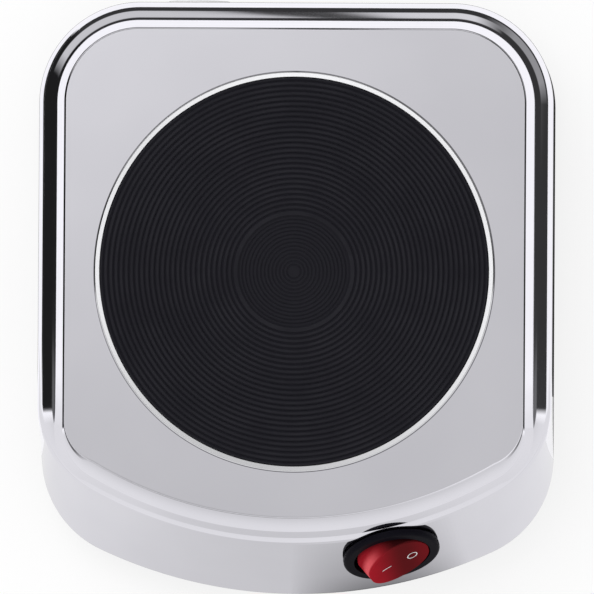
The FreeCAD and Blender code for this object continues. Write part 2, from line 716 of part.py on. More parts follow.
def nut(label, top):
    body = new_body(label)
    sketch = new_sketch(body, "XY_Plane", top + " - nut_height")
    half = "nut_corner * cos(30)"
    quarter = "nut_corner / 2"
    draw(sketch, [("nut_corner", "0"), (quarter, half), ("-" + quarter, half), ("-nut_corner", "0"),
                  ("-" + quarter, "-" + half), (quarter, "-" + half)])
    circle(sketch, "0", "0", "stud_radius + touch_gap")
    pad(body, sketch, "nut_height")
    keep(put(body, "0", "plate_shift"), label)


for label, seat_z in (("shield", "shield_under"), ("base", "base_under")):
    washer_section = tube_section("stud_hole", "washer_radius", seat_z + " - washer_thick", seat_z)
    keep(turned(label + "_washer", washer_section, "plate_shift"), label + "_washer")
    nut(label + "_nut", seat_z + " - washer_thick")

# Base plate with vent slots, stud hole and screw holes
base = new_body("base_plate")
base_sketch = new_sketch(base, "XY_Plane", "base_under")
draw(base_sketch, house_outline("(housing_width / 2 - base_inset)", "(back_y - base_inset)",
                                "(back_corner - base_inset)", "(front_y + base_inset)",
                                "(front_radius - base_inset)", "(front_corner - base_inset)"))
circle(base_sketch, "0", "plate_shift", "stud_hole")
FOOT_PLACES = [(side + "foot_side", back) for back in ("foot_front", "foot_back") for side in ("-", "")]
BLOCK_PLACES = [("gland_side " + way + " pole_pitch / 2", "block_back") for way in ("+", "-")]
EARTH_PLACE = ("gland_side", "tag_back - tag_length / 4")
for x, y in SCREW_PLACES + FOOT_PLACES + BLOCK_PLACES + [EARTH_PLACE]:
    circle(base_sketch, x, y, "screw_hole")
pad(base, base_sketch, "base_metal")
vents = new_sketch(base, "XY_Plane", "housing_foot")
for way in ("", "-"):
    for k in range(VENTS):
        y = "tag_back - vent_gap - " + str(k) + " * housing_depth * vent_spread / " + str(VENTS - 1)
        middle = way + "vent_side"
        slot(vents, middle + " - vent_length / 2", middle + " + vent_length / 2", y, "vent_width / 2")
pocket(base, vents, "base_metal")
keep(base, "base_plate")


# Screws: a round head with a rounded edge on a plain shank, head downwards
def screw_section(seat_z, tip_z):
    crown = seat_z + " - head_height"
    return [("0", crown), ("screw_head - head_height / 2", crown, "head_height / 2", 1),
            ("screw_head", seat_z + " - head_height / 2"), ("screw_head", seat_z), ("screw_radius", seat_z),
            ("screw_radius", tip_z), ("0", tip_z)]


def screws(label, places, seat_z, tip_z):
    """Identical screws kept together as one piece of several solids."""
    each = []
    for number, (x, y) in enumerate(places):
        each.append(turned(label + "_" + str(number), screw_section(seat_z, tip_z), y, x))
    made = doc.addObject("Part::Compound", label)
    made.Links = each
    keep(made, label)


screws("base_screws", SCREW_PLACES, "base_under", "housing_foot + sheet_metal + screw_reach")
screws("foot_screws", FOOT_PLACES, "foot_seat", "housing_foot + screw_reach")
screws("cutout_screws", [(x, y + " + plate_shift") for x, y in EAR_PLACES], "shield_under - tab_metal",
       "shield_top - touch_gap")
screws("block_screws", BLOCK_PLACES, "base_under", "housing_foot + screw_reach")
screws("earth_screw", [EARTH_PLACE], "base_under", "housing_foot + tab_metal + screw_reach")

FOOT_LABELS = ("foot_front_left", "foot_front_right", "foot_back_left", "foot_back_right")
for (x, y), label in zip(FOOT_PLACES, FOOT_LABELS):
    foot = turned(label, [
        ("screw_head + 2 * fit_gap", "0"), ("foot_bottom", "0"), ("foot_top", "base_under"),
        ("screw_hole", "base_under"), ("screw_hole", "foot_seat"),
        ("screw_head + 2 * fit_gap", "foot_seat")], y, x)
    keep(foot, label)

# Cord gland: collars on both sides of the back wall, turned round its own axis and laid along Y
gland = turned("cord_gland", [
    ("gland_bore", "-gland_tail"), ("gland_collar - fit_gap", "-gland_tail"),
    ("gland_collar", "-sheet_metal"), ("gland_neck", "-sheet_metal"), ("gland_neck", "0"),
    ("gland_collar", "0"),
    ("gland_collar - gland_head / 2", "gland_head"), ("gland_bore", "gland_head")])
put(gland, "gland_side", "back_y", "gland_height")
gland.Placement.Rotation = Rotation(Vector(1, 0, 0), -90)
keep(gland, "cord_gland")

# Terminal block on the base, with a clamp screw for each pole on both sides
block = new_body("terminal_block")
block_sketch = new_sketch(block, "XY_Plane", "housing_foot")
rectangle(block_sketch, "-block_length / 2", "block_length / 2", "-block_width / 2", "block_width / 2")
pad(block, block_sketch, "block_height")
sinks = new_sketch(block, "XY_Plane", "block_top")
ROW = "block_width / 4"
CLAMP_PLACES = [(str(k) + " * pole_pitch", way + ROW) for k in (-1, 0, 1) for way in ("-", "")]
for x, y in CLAMP_PLACES:
    circle(sinks, x, y, "clamp_radius + fit_gap")
pocket(block, sinks, "block_height / 3")
block_holes = new_sketch(block, "XY_Plane", "housing_foot")
for way in ("", "-"):
    circle(block_holes, way + "pole_pitch / 2", "0", "screw_hole")
pocket(block, block_holes, "screw_reach + touch_gap", Reversed=True)
keep(put(block, "gland_side", "block_back"), "terminal_block")

clamps = []
for number, (x, y) in enumerate(CLAMP_PLACES):
    clamp = doc.addObject("Part::Cylinder", "clamp_" + str(number))
    bind(clamp, Radius="clamp_radius", Height="block_height / 3 + clamp_height")
    clamps.append(put(clamp, "gland_side + " + x, "block_back + " + y, "block_top - block_height / 3"))
clamp_group = doc.addObject("Part::Compound", "clamp_screws")
clamp_group.Links = clamps
keep(clamp_group, "clamp_screws")

# Earth tag on the base
tag = new_body("earth_tag")
tag_sketch = new_sketch(tag, "XY_Plane", "housing_foot")
rectangle(tag_sketch, "-tag_width / 2", "tag_width / 2", "-tag_length / 2", "tag_length / 2")
circle(tag_sketch, "0", "-tag_length / 4", "screw_hole")
pad(tag, tag_sketch, "tab_metal")
keep(put(tag, "gland_side", "tag_back"), "earth_tag")

# Thermal cut-out under the shield: round body with two ears, and two tabs
CUTOUT_STEP = "shield_under - cutout_height"
CUTOUT_END = CUTOUT_STEP + " - cutout_drop"
cutout = turned("thermal_cutout", [
    ("0", CUTOUT_END), ("cutout_neck", CUTOUT_END), ("cutout_neck", CUTOUT_STEP),
    ("cutout_radius", CUTOUT_STEP),
    ("cutout_radius", "shield_under"), ("0", "shield_under")], "cutout_back", "cutout_side")
ears = new_sketch(cutout, "XY_Plane", "shield_under - tab_metal")
draw(ears, [("-ear_width / 2", "0"), ("-ear_width / 2", "-ear_width / 2"), ("0", "-ear_width / 2"),
            ("ear_reach + ear_width / 2", "-ear_width / 2"), ("ear_reach + ear_width / 2", "ear_width / 2"),
            ("ear_width / 2", "ear_width / 2"), ("ear_width / 2", "ear_reach + ear_width / 2"),
            ("-ear_width / 2", "ear_reach + ear_width / 2")])
pad(cutout, ears, "tab_metal")
ear_holes = new_sketch(cutout, "XY_Plane", "shield_under")
circle(ear_holes, "ear_reach", "0", "screw_hole")
circle(ear_holes, "0", "ear_reach", "screw_hole")
pocket(cutout, ear_holes, "tab_metal")
keep(cutout, "thermal_cutout")
TAB_Z = "(shield_under - cutout_height - cutout_drop / 2)"
for label, corners in (
        ("cutout_tab_in", ("-tab_width / 2", "tab_width / 2", "-tab_reach", "-cutout_neck - touch_gap")),
        ("cutout_tab_out", ("-tab_reach", "-cutout_neck - touch_gap", "-tab_width / 2", "tab_width / 2"))):
    tab = new_body(label)
    tab_sketch = new_sketch(tab, "XY_Plane", TAB_Z + " - tab_metal / 2")
    rectangle(tab_sketch, *corners)
    pad(tab, tab_sketch, "tab_metal")
    keep(put(tab, "cutout_side", "cutout_back"), label)


# Switch body: bezel, barrel and box in one, hollow for the rocker and the contacts
def in_switch(body, label, more=Placement()):
    body.Placement = SWITCH.multiply(more)
    return keep(body, label)


switch = new_body("switch_body")
switch_section = new_sketch(switch, "XZ_Plane")
draw(switch_section, [
    ("mouth_radius", "-mouth_depth"), ("mouth_radius", "-barrel_depth"), ("collar_radius", "-barrel_depth"),
    ("collar_radius", "0"), ("bezel_radius", "0"),
    ("bezel_radius", "bezel_thick - bezel_round", "bezel_round", 1),
    ("bezel_radius - bezel_round", "bezel_thick"), ("mouth_radius", "bezel_thick")])
spin(switch, switch_section)
box_sketch = new_sketch(switch, "XY_Plane", "-box_depth")
rectangle(box_sketch, "-box_length / 2", "box_length / 2", "-box_width / 2", "box_width / 2")
pad(switch, box_sketch, "box_depth - mouth_depth")
deck_sketch = new_sketch(switch, "XY_Plane", "-barrel_depth")
circle(deck_sketch, "0", "0", "collar_radius")
pad(switch, deck_sketch, "barrel_depth - mouth_depth")
room = new_sketch(switch, "XY_Plane", "-mouth_depth")
rectangle(room, "-box_length / 2 + box_wall", "box_length / 2 - box_wall",
          "-box_width / 2 + box_wall", "box_width / 2 - box_wall")
pocket(switch, room, "box_depth - mouth_depth - box_wall")
pivots = new_sketch(switch, "XZ_Plane")
circle(pivots, "0", "-pivot_depth", "pivot_radius + pivot_gap")
pocket(switch, pivots, "2 * pivot_reach + 2 * fit_gap", Midplane=True)
blade_slots = new_sketch(switch, "XY_Plane", "-box_depth + box_wall")
TERMINAL_X = ("0", "contact_side", "-contact_side")
for x in TERMINAL_X:
    rectangle(blade_slots, x + " - tab_metal / 2 - touch_gap", x + " + tab_metal / 2 + touch_gap",
              "-tab_width / 2 - touch_gap", "tab_width / 2 + touch_gap")
pocket(switch, blade_slots, "box_wall")
in_switch(switch, "switch_body")

# Rocker: side view drawn across the switch, trimmed to a round flared outline, with trunnions and a nose
rocker = new_body("switch_rocker")
side_view = new_sketch(rocker, "XZ_Plane")
FACE_ARC = "(rocker_half ^ 2 + rocker_dish ^ 2) / (2 * rocker_dish)"
draw(side_view, [
    ("-rocker_base", "-rocker_foot"), ("rocker_base", "-rocker_foot"),
    ("rocker_flank", "-pivot_depth"), ("rocker_half", "rocker_face", FACE_ARC, -1),
    ("-rocker_half", "rocker_face"), ("-rocker_flank", "-pivot_depth")])
pad(rocker, side_view, "3 * rocker_radius", Midplane=True)
trim = new_sketch(rocker, "XZ_Plane")
draw(trim, [
    ("rocker_radius", "rocker_face + rocker_dish"), ("rocker_radius", "rocker_face"),
    ("rocker_flank", "-pivot_depth"), ("rocker_flank", "-rocker_foot - rocker_dish"),
    ("3 * rocker_radius", "-rocker_foot - rocker_dish"), ("3 * rocker_radius", "rocker_face + rocker_dish")])
spin(rocker, trim, "Groove")
trunnion = new_sketch(rocker, "XZ_Plane")
circle(trunnion, "0", "-pivot_depth", "pivot_radius")
pad(rocker, trunnion, "2 * pivot_reach", Midplane=True)
nose = new_sketch(rocker, "XZ_Plane")
draw(nose, [("0", "-pivot_depth"), ("0", "-nose_reach - nose_radius", "nose_radius", 1),
            ("nose_radius", "-nose_reach"), ("nose_radius", "-pivot_depth")])
spin(rocker, nose)
lamp_room = new_sketch(rocker, "XZ_Plane")
circle(lamp_room, "-lamp_side", "lamp_front", "lamp_radius + lamp_room")
pocket(rocker, lamp_room, "lamp_length + 2 * lamp_room", Midplane=True)


def tilted(depth, angle):
    """Placement in the switch frame after a tilt round the line across it at a depth."""
    swing = Rotation(Vector(0, 1, 0), angle)
    return Placement(Vector(), swing, Vector(0, 0, -size(depth)))


AT_REST = tilted("pivot_depth", size("rocker_tilt"))
in_switch(rocker, "switch_rocker", AT_REST)

lamp = new_body("neon_lamp")
lamp_sketch = new_sketch(lamp, "XZ_Plane")
circle(lamp_sketch, "-lamp_side", "lamp_front", "lamp_radius")
pad(lamp, lamp_sketch, "lamp_length", Midplane=True)
in_switch(lamp, "neon_lamp", AT_REST)

# See-saw contact on the rounded fulcrum of the common terminal
lever = new_body("contact_lever")
lever_view = new_sketch(lever, "XZ_Plane")
UNDER = "-lever_axis + fulcrum_radius + touch_gap"
rectangle(lever_view, "-lever_half", "lever_half", UNDER, UNDER + " + lever_metal")
pad(lever, lever_view, "lever_width", Midplane=True)
lever_stud = new_sketch(lever, "XY_Plane", UNDER + " - contact_height")
circle(lever_stud, "contact_side", "0", "contact_radius")
pad(lever, lever_stud, "contact_height")
in_switch(lever, "contact_lever", tilted("lever_axis", -size("lever_tilt")))


def blade(label, x, top):
    body = new_body(label)
    sketch = new_sketch(body, "XY_Plane", "-terminal_end")
    rectangle(sketch, x + " - tab_metal / 2", x + " + tab_metal / 2", "-tab_width / 2", "tab_width / 2")
    pad(body, sketch, "terminal_end - (" + top + ")")
    return body


common = blade("terminal_common", "0", "lever_axis")
ridge = new_sketch(common, "XZ_Plane")
circle(ridge, "0", "-lever_axis", "fulcrum_radius")
pad(common, ridge, "tab_width", Midplane=True)
in_switch(common, "terminal_common")
load = blade("terminal_load", "contact_side", "load_top + contact_height")
load_stud = new_sketch(load, "XY_Plane", "-load_top - contact_height")
circle(load_stud, "contact_side", "0", "contact_radius")
pad(load, load_stud, "contact_height")
in_switch(load, "terminal_load")
in_switch(blade("terminal_lamp", "-contact_side", "lamp_top"), "terminal_lamp")


# Leads: straight runs joined by tangent arcs
def lead(label, points):
    bend = size("lead_bend")
    edges = []
    here = points[0]
    for before, corner, after in zip(points, points[1:], points[2:]):
        back_way = (before - corner).normalize()
        on_way = (after - corner).normalize()
        half = back_way.getAngle(on_way) / 2
        reach = bend / math.tan(half)
        start = corner + back_way * reach
        end = corner + on_way * reach
        inward = (back_way + on_way).normalize()
        middle = corner + inward * (bend / math.sin(half) - bend)
        edges.append(Part.LineSegment(here, start))
        edges.append(Part.Arc(start, middle, end))
        here = end
    edges.append(Part.LineSegment(here, points[-1]))
    made = doc.addObject("Part::Feature", label)
    made.Shape = tube_along(edges, size("lead_radius"))
    keep(made, label)


def switch_point(x, depth):
    return SWITCH.multVec(Vector(size(x), 0, -size(depth)))


run_z = size("housing_foot + tab_metal + lead_radius + touch_gap")
block_face = size("block_back - block_width / 2 - touch_gap")
pole_x = [size("gland_side + " + str(k) + " * pole_pitch") for k in (-1, 0, 1)]
tab_z = size(TAB_Z)
cut_x = size("cutout_side")
cut_y = size("cutout_back")
tab_end = size("tab_reach")
leg_y = size(LEG_Y)
leg_x = [size(x) for x in LEG_X]
leg_z = size("leg_end")
lamp_x = pole_x[0] + size("lamp_shift")
clear_x = cut_x - tab_end - size("leg_clear")
STAND_OFF = "terminal_end + 2 * lead_bend"

lead("live_lead", [
    Vector(pole_x[2], block_face, run_z), Vector(pole_x[2], size("live_turn"), run_z),
    switch_point("0", STAND_OFF), switch_point("0", "terminal_end")])
lead("lamp_lead", [
    Vector(lamp_x, block_face, run_z), Vector(lamp_x, size("lamp_turn"), run_z),
    switch_point("-contact_side", STAND_OFF), switch_point("-contact_side", "terminal_end")])
lead("switched_lead", [
    switch_point("contact_side", "terminal_end"), switch_point("contact_side", STAND_OFF),
    Vector(cut_x, cut_y - tab_end - size("tab_run"), tab_z), Vector(cut_x, cut_y - tab_end, tab_z)])
lead("element_lead", [
    Vector(cut_x - tab_end, cut_y, tab_z), Vector(clear_x, cut_y, tab_z), Vector(clear_x, leg_y, run_z),
    Vector(leg_x[0], leg_y, run_z), Vector(leg_x[0], leg_y, leg_z)])
lead("neutral_lead", [
    Vector(leg_x[1], block_face, run_z), Vector(leg_x[1], leg_y, run_z), Vector(leg_x[1], leg_y, leg_z)])
lead("earth_lead", [
    Vector(pole_x[1], block_face, run_z), Vector(pole_x[1], size("tag_back + tag_length / 4"), run_z)])

# Recompute, check and write every piece
doc.recompute()
for thing in doc.Objects:
    if "Invalid" in thing.State or "Error" in thing.State:
        raise RuntimeError(thing.Name + " failed")
os.makedirs("parts", exist_ok=True)
for thing in PIECES:
    if thing.Shape.isNull() or not thing.Shape.isValid():
        raise RuntimeError(thing.Label + " has no sound shape")
    thing.Shape.exportStep("parts/" + thing.Label + ".step")
print(len(PIECES), "pieces written")
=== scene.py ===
import json
import math
from collections import namedtuple

import bpy
from mathutils import Matrix, Vector


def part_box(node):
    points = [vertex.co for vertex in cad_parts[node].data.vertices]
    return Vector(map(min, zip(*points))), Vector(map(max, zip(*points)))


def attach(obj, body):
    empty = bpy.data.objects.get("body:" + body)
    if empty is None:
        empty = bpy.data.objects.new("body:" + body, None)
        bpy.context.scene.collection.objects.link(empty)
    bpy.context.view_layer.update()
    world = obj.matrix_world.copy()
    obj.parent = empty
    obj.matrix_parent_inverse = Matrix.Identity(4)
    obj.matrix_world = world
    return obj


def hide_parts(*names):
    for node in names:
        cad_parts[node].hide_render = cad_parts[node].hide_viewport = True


bl_info = {
    "name": "Hot Plate Burner",
    "version": (1, 0, 0),
    "blender": (4, 2, 0),
    "location": "View3D > Sidebar > Hot Plate",
    "description": "Dresses a small electric hot plate and sets up its stage",
    "category": "Add Mesh",
}

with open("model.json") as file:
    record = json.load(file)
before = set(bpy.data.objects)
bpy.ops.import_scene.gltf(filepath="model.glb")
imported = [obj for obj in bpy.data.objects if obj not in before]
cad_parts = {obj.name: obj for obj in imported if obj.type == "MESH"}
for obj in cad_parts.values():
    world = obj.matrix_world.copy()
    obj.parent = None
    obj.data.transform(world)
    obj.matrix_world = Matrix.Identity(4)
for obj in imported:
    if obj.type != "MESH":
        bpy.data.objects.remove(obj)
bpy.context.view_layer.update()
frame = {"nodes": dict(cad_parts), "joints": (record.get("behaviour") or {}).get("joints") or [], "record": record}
SHELL_LOW, SHELL_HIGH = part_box("housing_shell")
RING_LOW, RING_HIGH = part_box("trim_ring")
PLATE_LOW, PLATE_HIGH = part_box("heating_plate")
GLAND_LOW, GLAND_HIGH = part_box("cord_gland")
UP = Vector((0, 0, 1))

# Steps of the meshes
ARC_STEPS = 56
BOW_STEPS = 200
SIDE_STEPS = 90
HEM_STEPS = 4
WALL_STEPS = 48
ROLL_STEPS = 28
EDGE_STEPS = 20
PANEL_STEPS = 8
RING_STEPS = 360
MARK_RING_STEPS = 48
MARK_BAR_STEPS = 10
FLOOR_STEPS = 96
CARD_STEPS = 96
CARD_RISE_STEPS = 32
OVERHEAD_STEPS = 48

# Printed marks: height above the rocker's face
MARK_LIFT = 0.00003

# Hanging and standing cards: soft edges in degrees, and how soon a standing card covers the floor
HANGING_SOFT = 4
STANDING_SOFT = 1
FOOT_FADE = 1.1

# Overhead card, in degrees off the vertical: its edge, and the middle and radius that the trim ring mirrors
OVERHEAD_EDGE = 15.5
RING_IMAGE = (-2.0, 1.6, 12.0)

# White that the trim ring mirrors: its level, its fall towards the front and half its width in degrees
RING_WHITE = 1.6
RING_WHITE_FALL = 0.7
RING_WHITE_HALF = 1.4

# Overhead card: its tone and the change for each degree to the right, to the back and for both
OVERHEAD_TONE = 0.612
OVERHEAD_RIGHT = -0.008
OVERHEAD_BACK = 0.018
OVERHEAD_BOTH = -0.004

# Cards on the floor: height of a layer, and their start inside the walls
CARD_HEIGHT = 0.0005
CARD_START = -0.02

# Floor: its height, and its level in full light
FLOOR_HEIGHT = -0.0001
FLOOR_LEVEL = 1.05

# Painted shadow before the front wall, a grey card that only reflections see: outer fade, share of it that fades
# at each end, tone, rise to the sides
FRONT_FADE = (0.1, 0.13)
FRONT_ENDS = 0.1
FRONT_SHADOW_TONE = 0.605
FRONT_SHADOW_RISE = 0.185

# Painted shadow in the gap under the walls, a dark card that only reflections see: tone, width at the front,
# widening behind it and its run, share that is full
GAP_SHADOW_TONE = 0.03
GAP_NARROW = 0.0007
GAP_WIDENING = 0.0173
GAP_RUN = 0.006
GAP_FULL = 0.3

# Shade of the switch on the floor: tone, radius, shift, and cover at each distance from the wall
SHADE_TONE = 0.05
SHADE_RADIUS = 0.024
SHADE_SHIFT = Vector((-0.005, 0, 0))
SHADE_BANDS = ((CARD_START, 1.0), (0.01, 0.9), (0.018, 0.5), (0.04, 0.0))

# Lamp and camera
LAMP_SIZE = 1.2
LAMP_POWER = 9.0
LAMP_PLACE = Vector((-0.6, 0.8, 1.5))
SENSOR_WIDTH = 36.0
CLIP_END = 20.0


def length(label, words, default):
    return bpy.props.FloatProperty(name=label, description=words, default=default,
                                   unit="LENGTH", precision=5)


def angle(label, words, degrees):
    return bpy.props.FloatProperty(name=label, description=words, default=math.radians(degrees),
                                   subtype="ANGLE")


def share(label, words, default):
    return bpy.props.FloatProperty(name=label, description=words, default=default,
                                   min=0.0, max=1.0, subtype="FACTOR")


def colour(label, words, default):
    return bpy.props.FloatVectorProperty(name=label, description=words, default=default,
                                         size=3, min=0.0, max=1.0, subtype="COLOR")


class HousingSizes(bpy.types.PropertyGroup):
    """Sizes of the pressed steel housing"""

    half_width: length("Half width", "Centre line to a side wall", SHELL_HIGH.x)
    back: length("Back", "Centre to the back wall", SHELL_HIGH.y)
    front: length("Front", "Centre to the foot of the front wall", SHELL_LOW.y)
    foot: length("Foot", "Height of the lower edge of the walls", SHELL_LOW.z)
    panel: length("Panel", "Height of the raised top panel", SHELL_HIGH.z)
    step: length("Step", "Shoulder up to the panel", 0.0031)
    bow: length("Bow", "Radius of the bowed front at its foot", 0.117)
    lean: length("Lean", "How far the front wall leans back", 0.0134)
    back_corner: length("Back corner", "Radius of the back corners", 0.0254)
    front_corner: length("Front corner", "Radius of the front corners", 0.026)
    roll: length("Roll", "Radius of the rolled shoulder", 0.0053)
    step_inset: length("Step inset", "Side and back wall to the foot of the step", 0.00465)
    step_front: length("Step at the front", "Shoulder line to the foot of the step at the front", 0.001)
    step_back_corner: length("Step back corner", "Back corner radius of the step", 0.02075)
    step_front_corner: length("Step front corner", "Front corner radius of the step", 0.015)
    step_slope: angle("Step slope", "Slope of the step", 55)
    step_edge: length("Step edge", "Rounded upper edge of the step at the sides and back", 0.0007)
    step_front_edge: length("Step front edge", "The same edge at the bowed front", 0.0048)
    step_root: length("Step root", "Step carried on below the shoulder", 0.0015)
    hem: length("Hem", "Bend at the foot of the walls", 0.0006)
    lip: length("Lip", "Flange turned in under the walls", 0.007)
    panel_hole: length("Panel hole", "Radius of the hole for the plate", 0.0496)
    gland_hole: length("Gland hole", "Radius left open for the cord gland", 0.006)
    ring_gap: length("Ring gap", "Plate to the trim ring", 0.0002)
    ring_fall: length("Ring fall", "Fall of the ring's top face towards the outside", 0.00008)
    ring_round: length("Ring edge", "Rounded outer edge of the ring", 0.00035)
    ring_lip: length("Ring lip", "Thickness of the lip that carries the plate", 0.0008)


class SwitchSizes(bpy.types.PropertyGroup):
    """Sizes of the round rocker switch"""

    pivot_depth: length("Pivot depth", "Rocker pivot behind the wall", 0.0016)
    hole: length("Hole", "Radius left open in the wall under the bezel", 0.0112)
    tilt: angle("Tilt", "Rocker at rest", 17)
    face: length("Face", "Ends of the rocker face in front of the wall", 0.0039)
    face_half: length("Half face", "Half length of the rocker face", 0.0081)
    dish: length("Dish", "Hollow of the rocker face", 0.0006)
    mark_line: length("Mark line", "Width of the printed marks", 0.00027)
    off_place: length("Off mark", "Ring mark from the middle of the face", 0.0037)
    off_radius: length("Off radius", "Radius of the ring mark", 0.00125)
    on_place: length("On mark", "Bar mark from the middle of the face", 0.0035)
    on_length: length("On length", "Length of the bar mark", 0.0026)


class FinishColours(bpy.types.PropertyGroup):
    """Colours of the main finishes"""

    steel: colour("Steel", "Polished steel", (0.905, 0.895, 0.96))
    # Painted shade: the dark joint stands in for the shade in the gap between the trim ring and the panel
    joint: colour("Joint", "Dark joint between the trim ring and the panel", (0.03, 0.03, 0.035))
    plate: colour("Plate", "Black coating of the plate", (0.013, 0.0125, 0.0175))
    # Painted sheen: lighter tops of the plate's ridges
    ridge_sheen: colour("Ridges", "Worn tops of the plate's ridges", (0.018, 0.0175, 0.023))
    moulding: colour("Moulding", "Black plastic of the switch", (0.0055, 0.005, 0.0085))
    # Rocker colours paint its light and shade: a dim middle, painted light at the raised end, a painted glow on
    # its flank and painted shade on the flank inside the mouth
    rocker_dark: colour("Rocker dark", "Dim middle of the rocker face", (0.115, 0.011, 0.013))
    rocker_lit: colour("Rocker lit", "Raised end of the rocker", (0.38, 0.015, 0.025))
    rocker_flank_glow: colour("Rocker rim", "Flank of the raised end", (0.80, 0.12, 0.14))
    rocker_mouth_shade: colour("Rocker deep", "Flank in the shade of the mouth", (0.02, 0.003, 0.004))
    marks: colour("Marks", "Printed switch marks", (0.85, 0.85, 0.85))
    floor: colour("Floor", "Pale studio floor", (0.9, 0.9, 0.9))


class StageSizes(bpy.types.PropertyGroup):
    """Camera and studio"""

    distance: length("Distance", "Camera to the panel", 4.0)
    tilt: angle("Tilt", "Camera off the vertical, towards the front", 1.6)
    side_tilt: angle("Side tilt", "Camera off the vertical, towards the right", 2.0)
    roll: angle("Roll", "Turn of the camera round its own axis", 0.36)
    view_width: length("View width", "Width that fills the picture", 0.1485)
    target_x: length("Target across", "Point in the middle of the picture", 0.00052)
    target_y: length("Target along", "Point in the middle of the picture", -0.000225)
    target_z: length("Target height", "Point in the middle of the picture", 0.037)
    floor_radius: length("Floor radius", "Radius of the floor", 6.0)
    card_reach: length("Card reach", "Studio cards from the object", 1.4)
    sky: share("Sky", "Level of the soft light from all around", 0.7)
    glow: share("Floor glow", "Share of the floor's white that shadows leave", 0.8)


class Wire:
    """A number on its way through a finish; arithmetic on it adds Math nodes."""

    def __init__(self, finish, socket):
        self.finish = finish
        self.socket = socket

    def math(self, operation, *values):
        return self.finish.add("ShaderNodeMath", {"operation": operation}, dict(enumerate(values)))

    def __add__(self, other):
        return self.math("ADD", self, other)

    def __radd__(self, other):
        return self.math("ADD", other, self)

    def __sub__(self, other):
        return self.math("SUBTRACT", self, other)

    def __rsub__(self, other):
        return self.math("SUBTRACT", other, self)

    def __mul__(self, other):
        return self.math("MULTIPLY", self, other)

    def __rmul__(self, other):
        return self.math("MULTIPLY", other, self)

    def __pow__(self, other):
        return self.math("POWER", self, other)

    def wave(self):
        return self.math("SINE", self)

    def between(self, low, high):
        """0 below low, 1 above high, smooth between them."""
        return self.finish.add("ShaderNodeMapRange", {"interpolation_type": "SMOOTHSTEP"},
                               {"Value": self, "From Min": low, "From Max": high})

    def uneven(self):
        """Noise turned into a factor a little below or above 1."""
        return 0.85 + 0.3 * self


class Finish:
    """Node tree of one material or of the world."""

    def __init__(self, owner, shader):
        owner.use_nodes = True
        self.owner = owner
        self.tree = owner.node_tree
        self.tree.nodes.clear()
        world = isinstance(owner, bpy.types.World)
        output = self.tree.nodes.new("ShaderNodeOutputWorld" if world else "ShaderNodeOutputMaterial")
        self.shader = self.tree.nodes.new(shader)
        self.tree.links.new(self.shader.outputs[0], output.inputs["Surface"])

    def feed(self, socket, value):
        """Link a wire to a socket, or set the socket to a plain value."""
        if isinstance(value, Wire):
            self.tree.links.new(value.socket, socket)
        elif socket.type == "RGBA" and len(value) == 3:
            socket.default_value = (*value, 1.0)
        else:
            socket.default_value = value

    def add(self, kind, settings=None, sockets=None, output=0):
        """New node: its settings first, then the values or links of its sockets."""
        node = self.tree.nodes.new(kind)
        for name, value in (settings or {}).items():
            setattr(node, name, value)
        for name, value in (sockets or {}).items():
            self.feed(node.inputs[name], value)
        return Wire(self, node.outputs[output])

    def set(self, **sockets):
        """Values or links of the main shader, named with underscores for spaces."""
        for name, value in sockets.items():
            self.feed(self.shader.inputs[name.replace("_", " ")], value)

    def place(self):
        return self.add("ShaderNodeTexCoord", output="Object")

    def parts_of(self, vector):
        node = self.tree.nodes.new("ShaderNodeSeparateXYZ")
        self.feed(node.inputs[0], vector)
        return [Wire(self, socket) for socket in node.outputs]

    def noise(self, scale, detail=3.0, roughness=0.5, place=None):
        return self.add("ShaderNodeTexNoise", None,
                        {"Vector": place or self.place(), "Scale": scale, "Detail": detail,
                         "Roughness": roughness})

    def blend(self, amount, first, second):
        """Colour between two colours."""
        return self.add("ShaderNodeMix", {"data_type": "RGBA"}, {0: amount, 6: first, 7: second}, output=2)

    def bump(self, height, distance):
        self.set(Normal=self.add("ShaderNodeBump", None, {"Height": height, "Distance": distance}))


def new_finish(name):
    return Finish(bpy.data.materials.new(name), "ShaderNodeBsdfPrincipled")


def shade(tone, factor):
    return tuple(min(1.0, part * factor) for part in tone)


class SwitchPlace:
    """Frame of the switch, read from the rocker's joint: Z out of the wall, X across, Y up the wall."""

    def __init__(self, sizes):
        joint = next(one for one in frame["joints"] if one["name"] == "rocker_tilt")
        up_wall = -Vector(joint["axis"]).normalized()
        across = up_wall.cross(UP).normalized()
        out = across.cross(up_wall)
        pivot = Vector(joint["pos_m"])
        turn = Matrix((across, up_wall, out)).transposed().to_4x4()
        self.out = out
        self.seat = pivot + out * sizes.pivot_depth
        self.rocker = Matrix.Translation(pivot) @ turn @ Matrix.Rotation(sizes.tilt, 4, "Y")


def off_axis(across, along, low, high):
    """Distance from the upright axis through the middle of a box."""
    return (across ** 2.0 + (along - (low.y + high.y) / 2) ** 2.0) ** 0.5


def general_finish(name, tone, metallic, roughness, grain, depth, shine=0.5):
    """Finish with mottled colour, uneven gloss and a fine grain."""
    mottle = 0.12
    patch_size = 12
    finish = new_finish(name)
    fine = finish.noise(grain)
    broad = finish.noise(grain / patch_size, 4.0)
    finish.set(Base_Color=finish.blend(broad, shade(tone, 1 - mottle), shade(tone, 1 + mottle)),
               Metallic=metallic, Roughness=roughness * fine.uneven(), Specular_IOR_Level=shine)
    finish.bump(fine, depth)
    return finish.owner


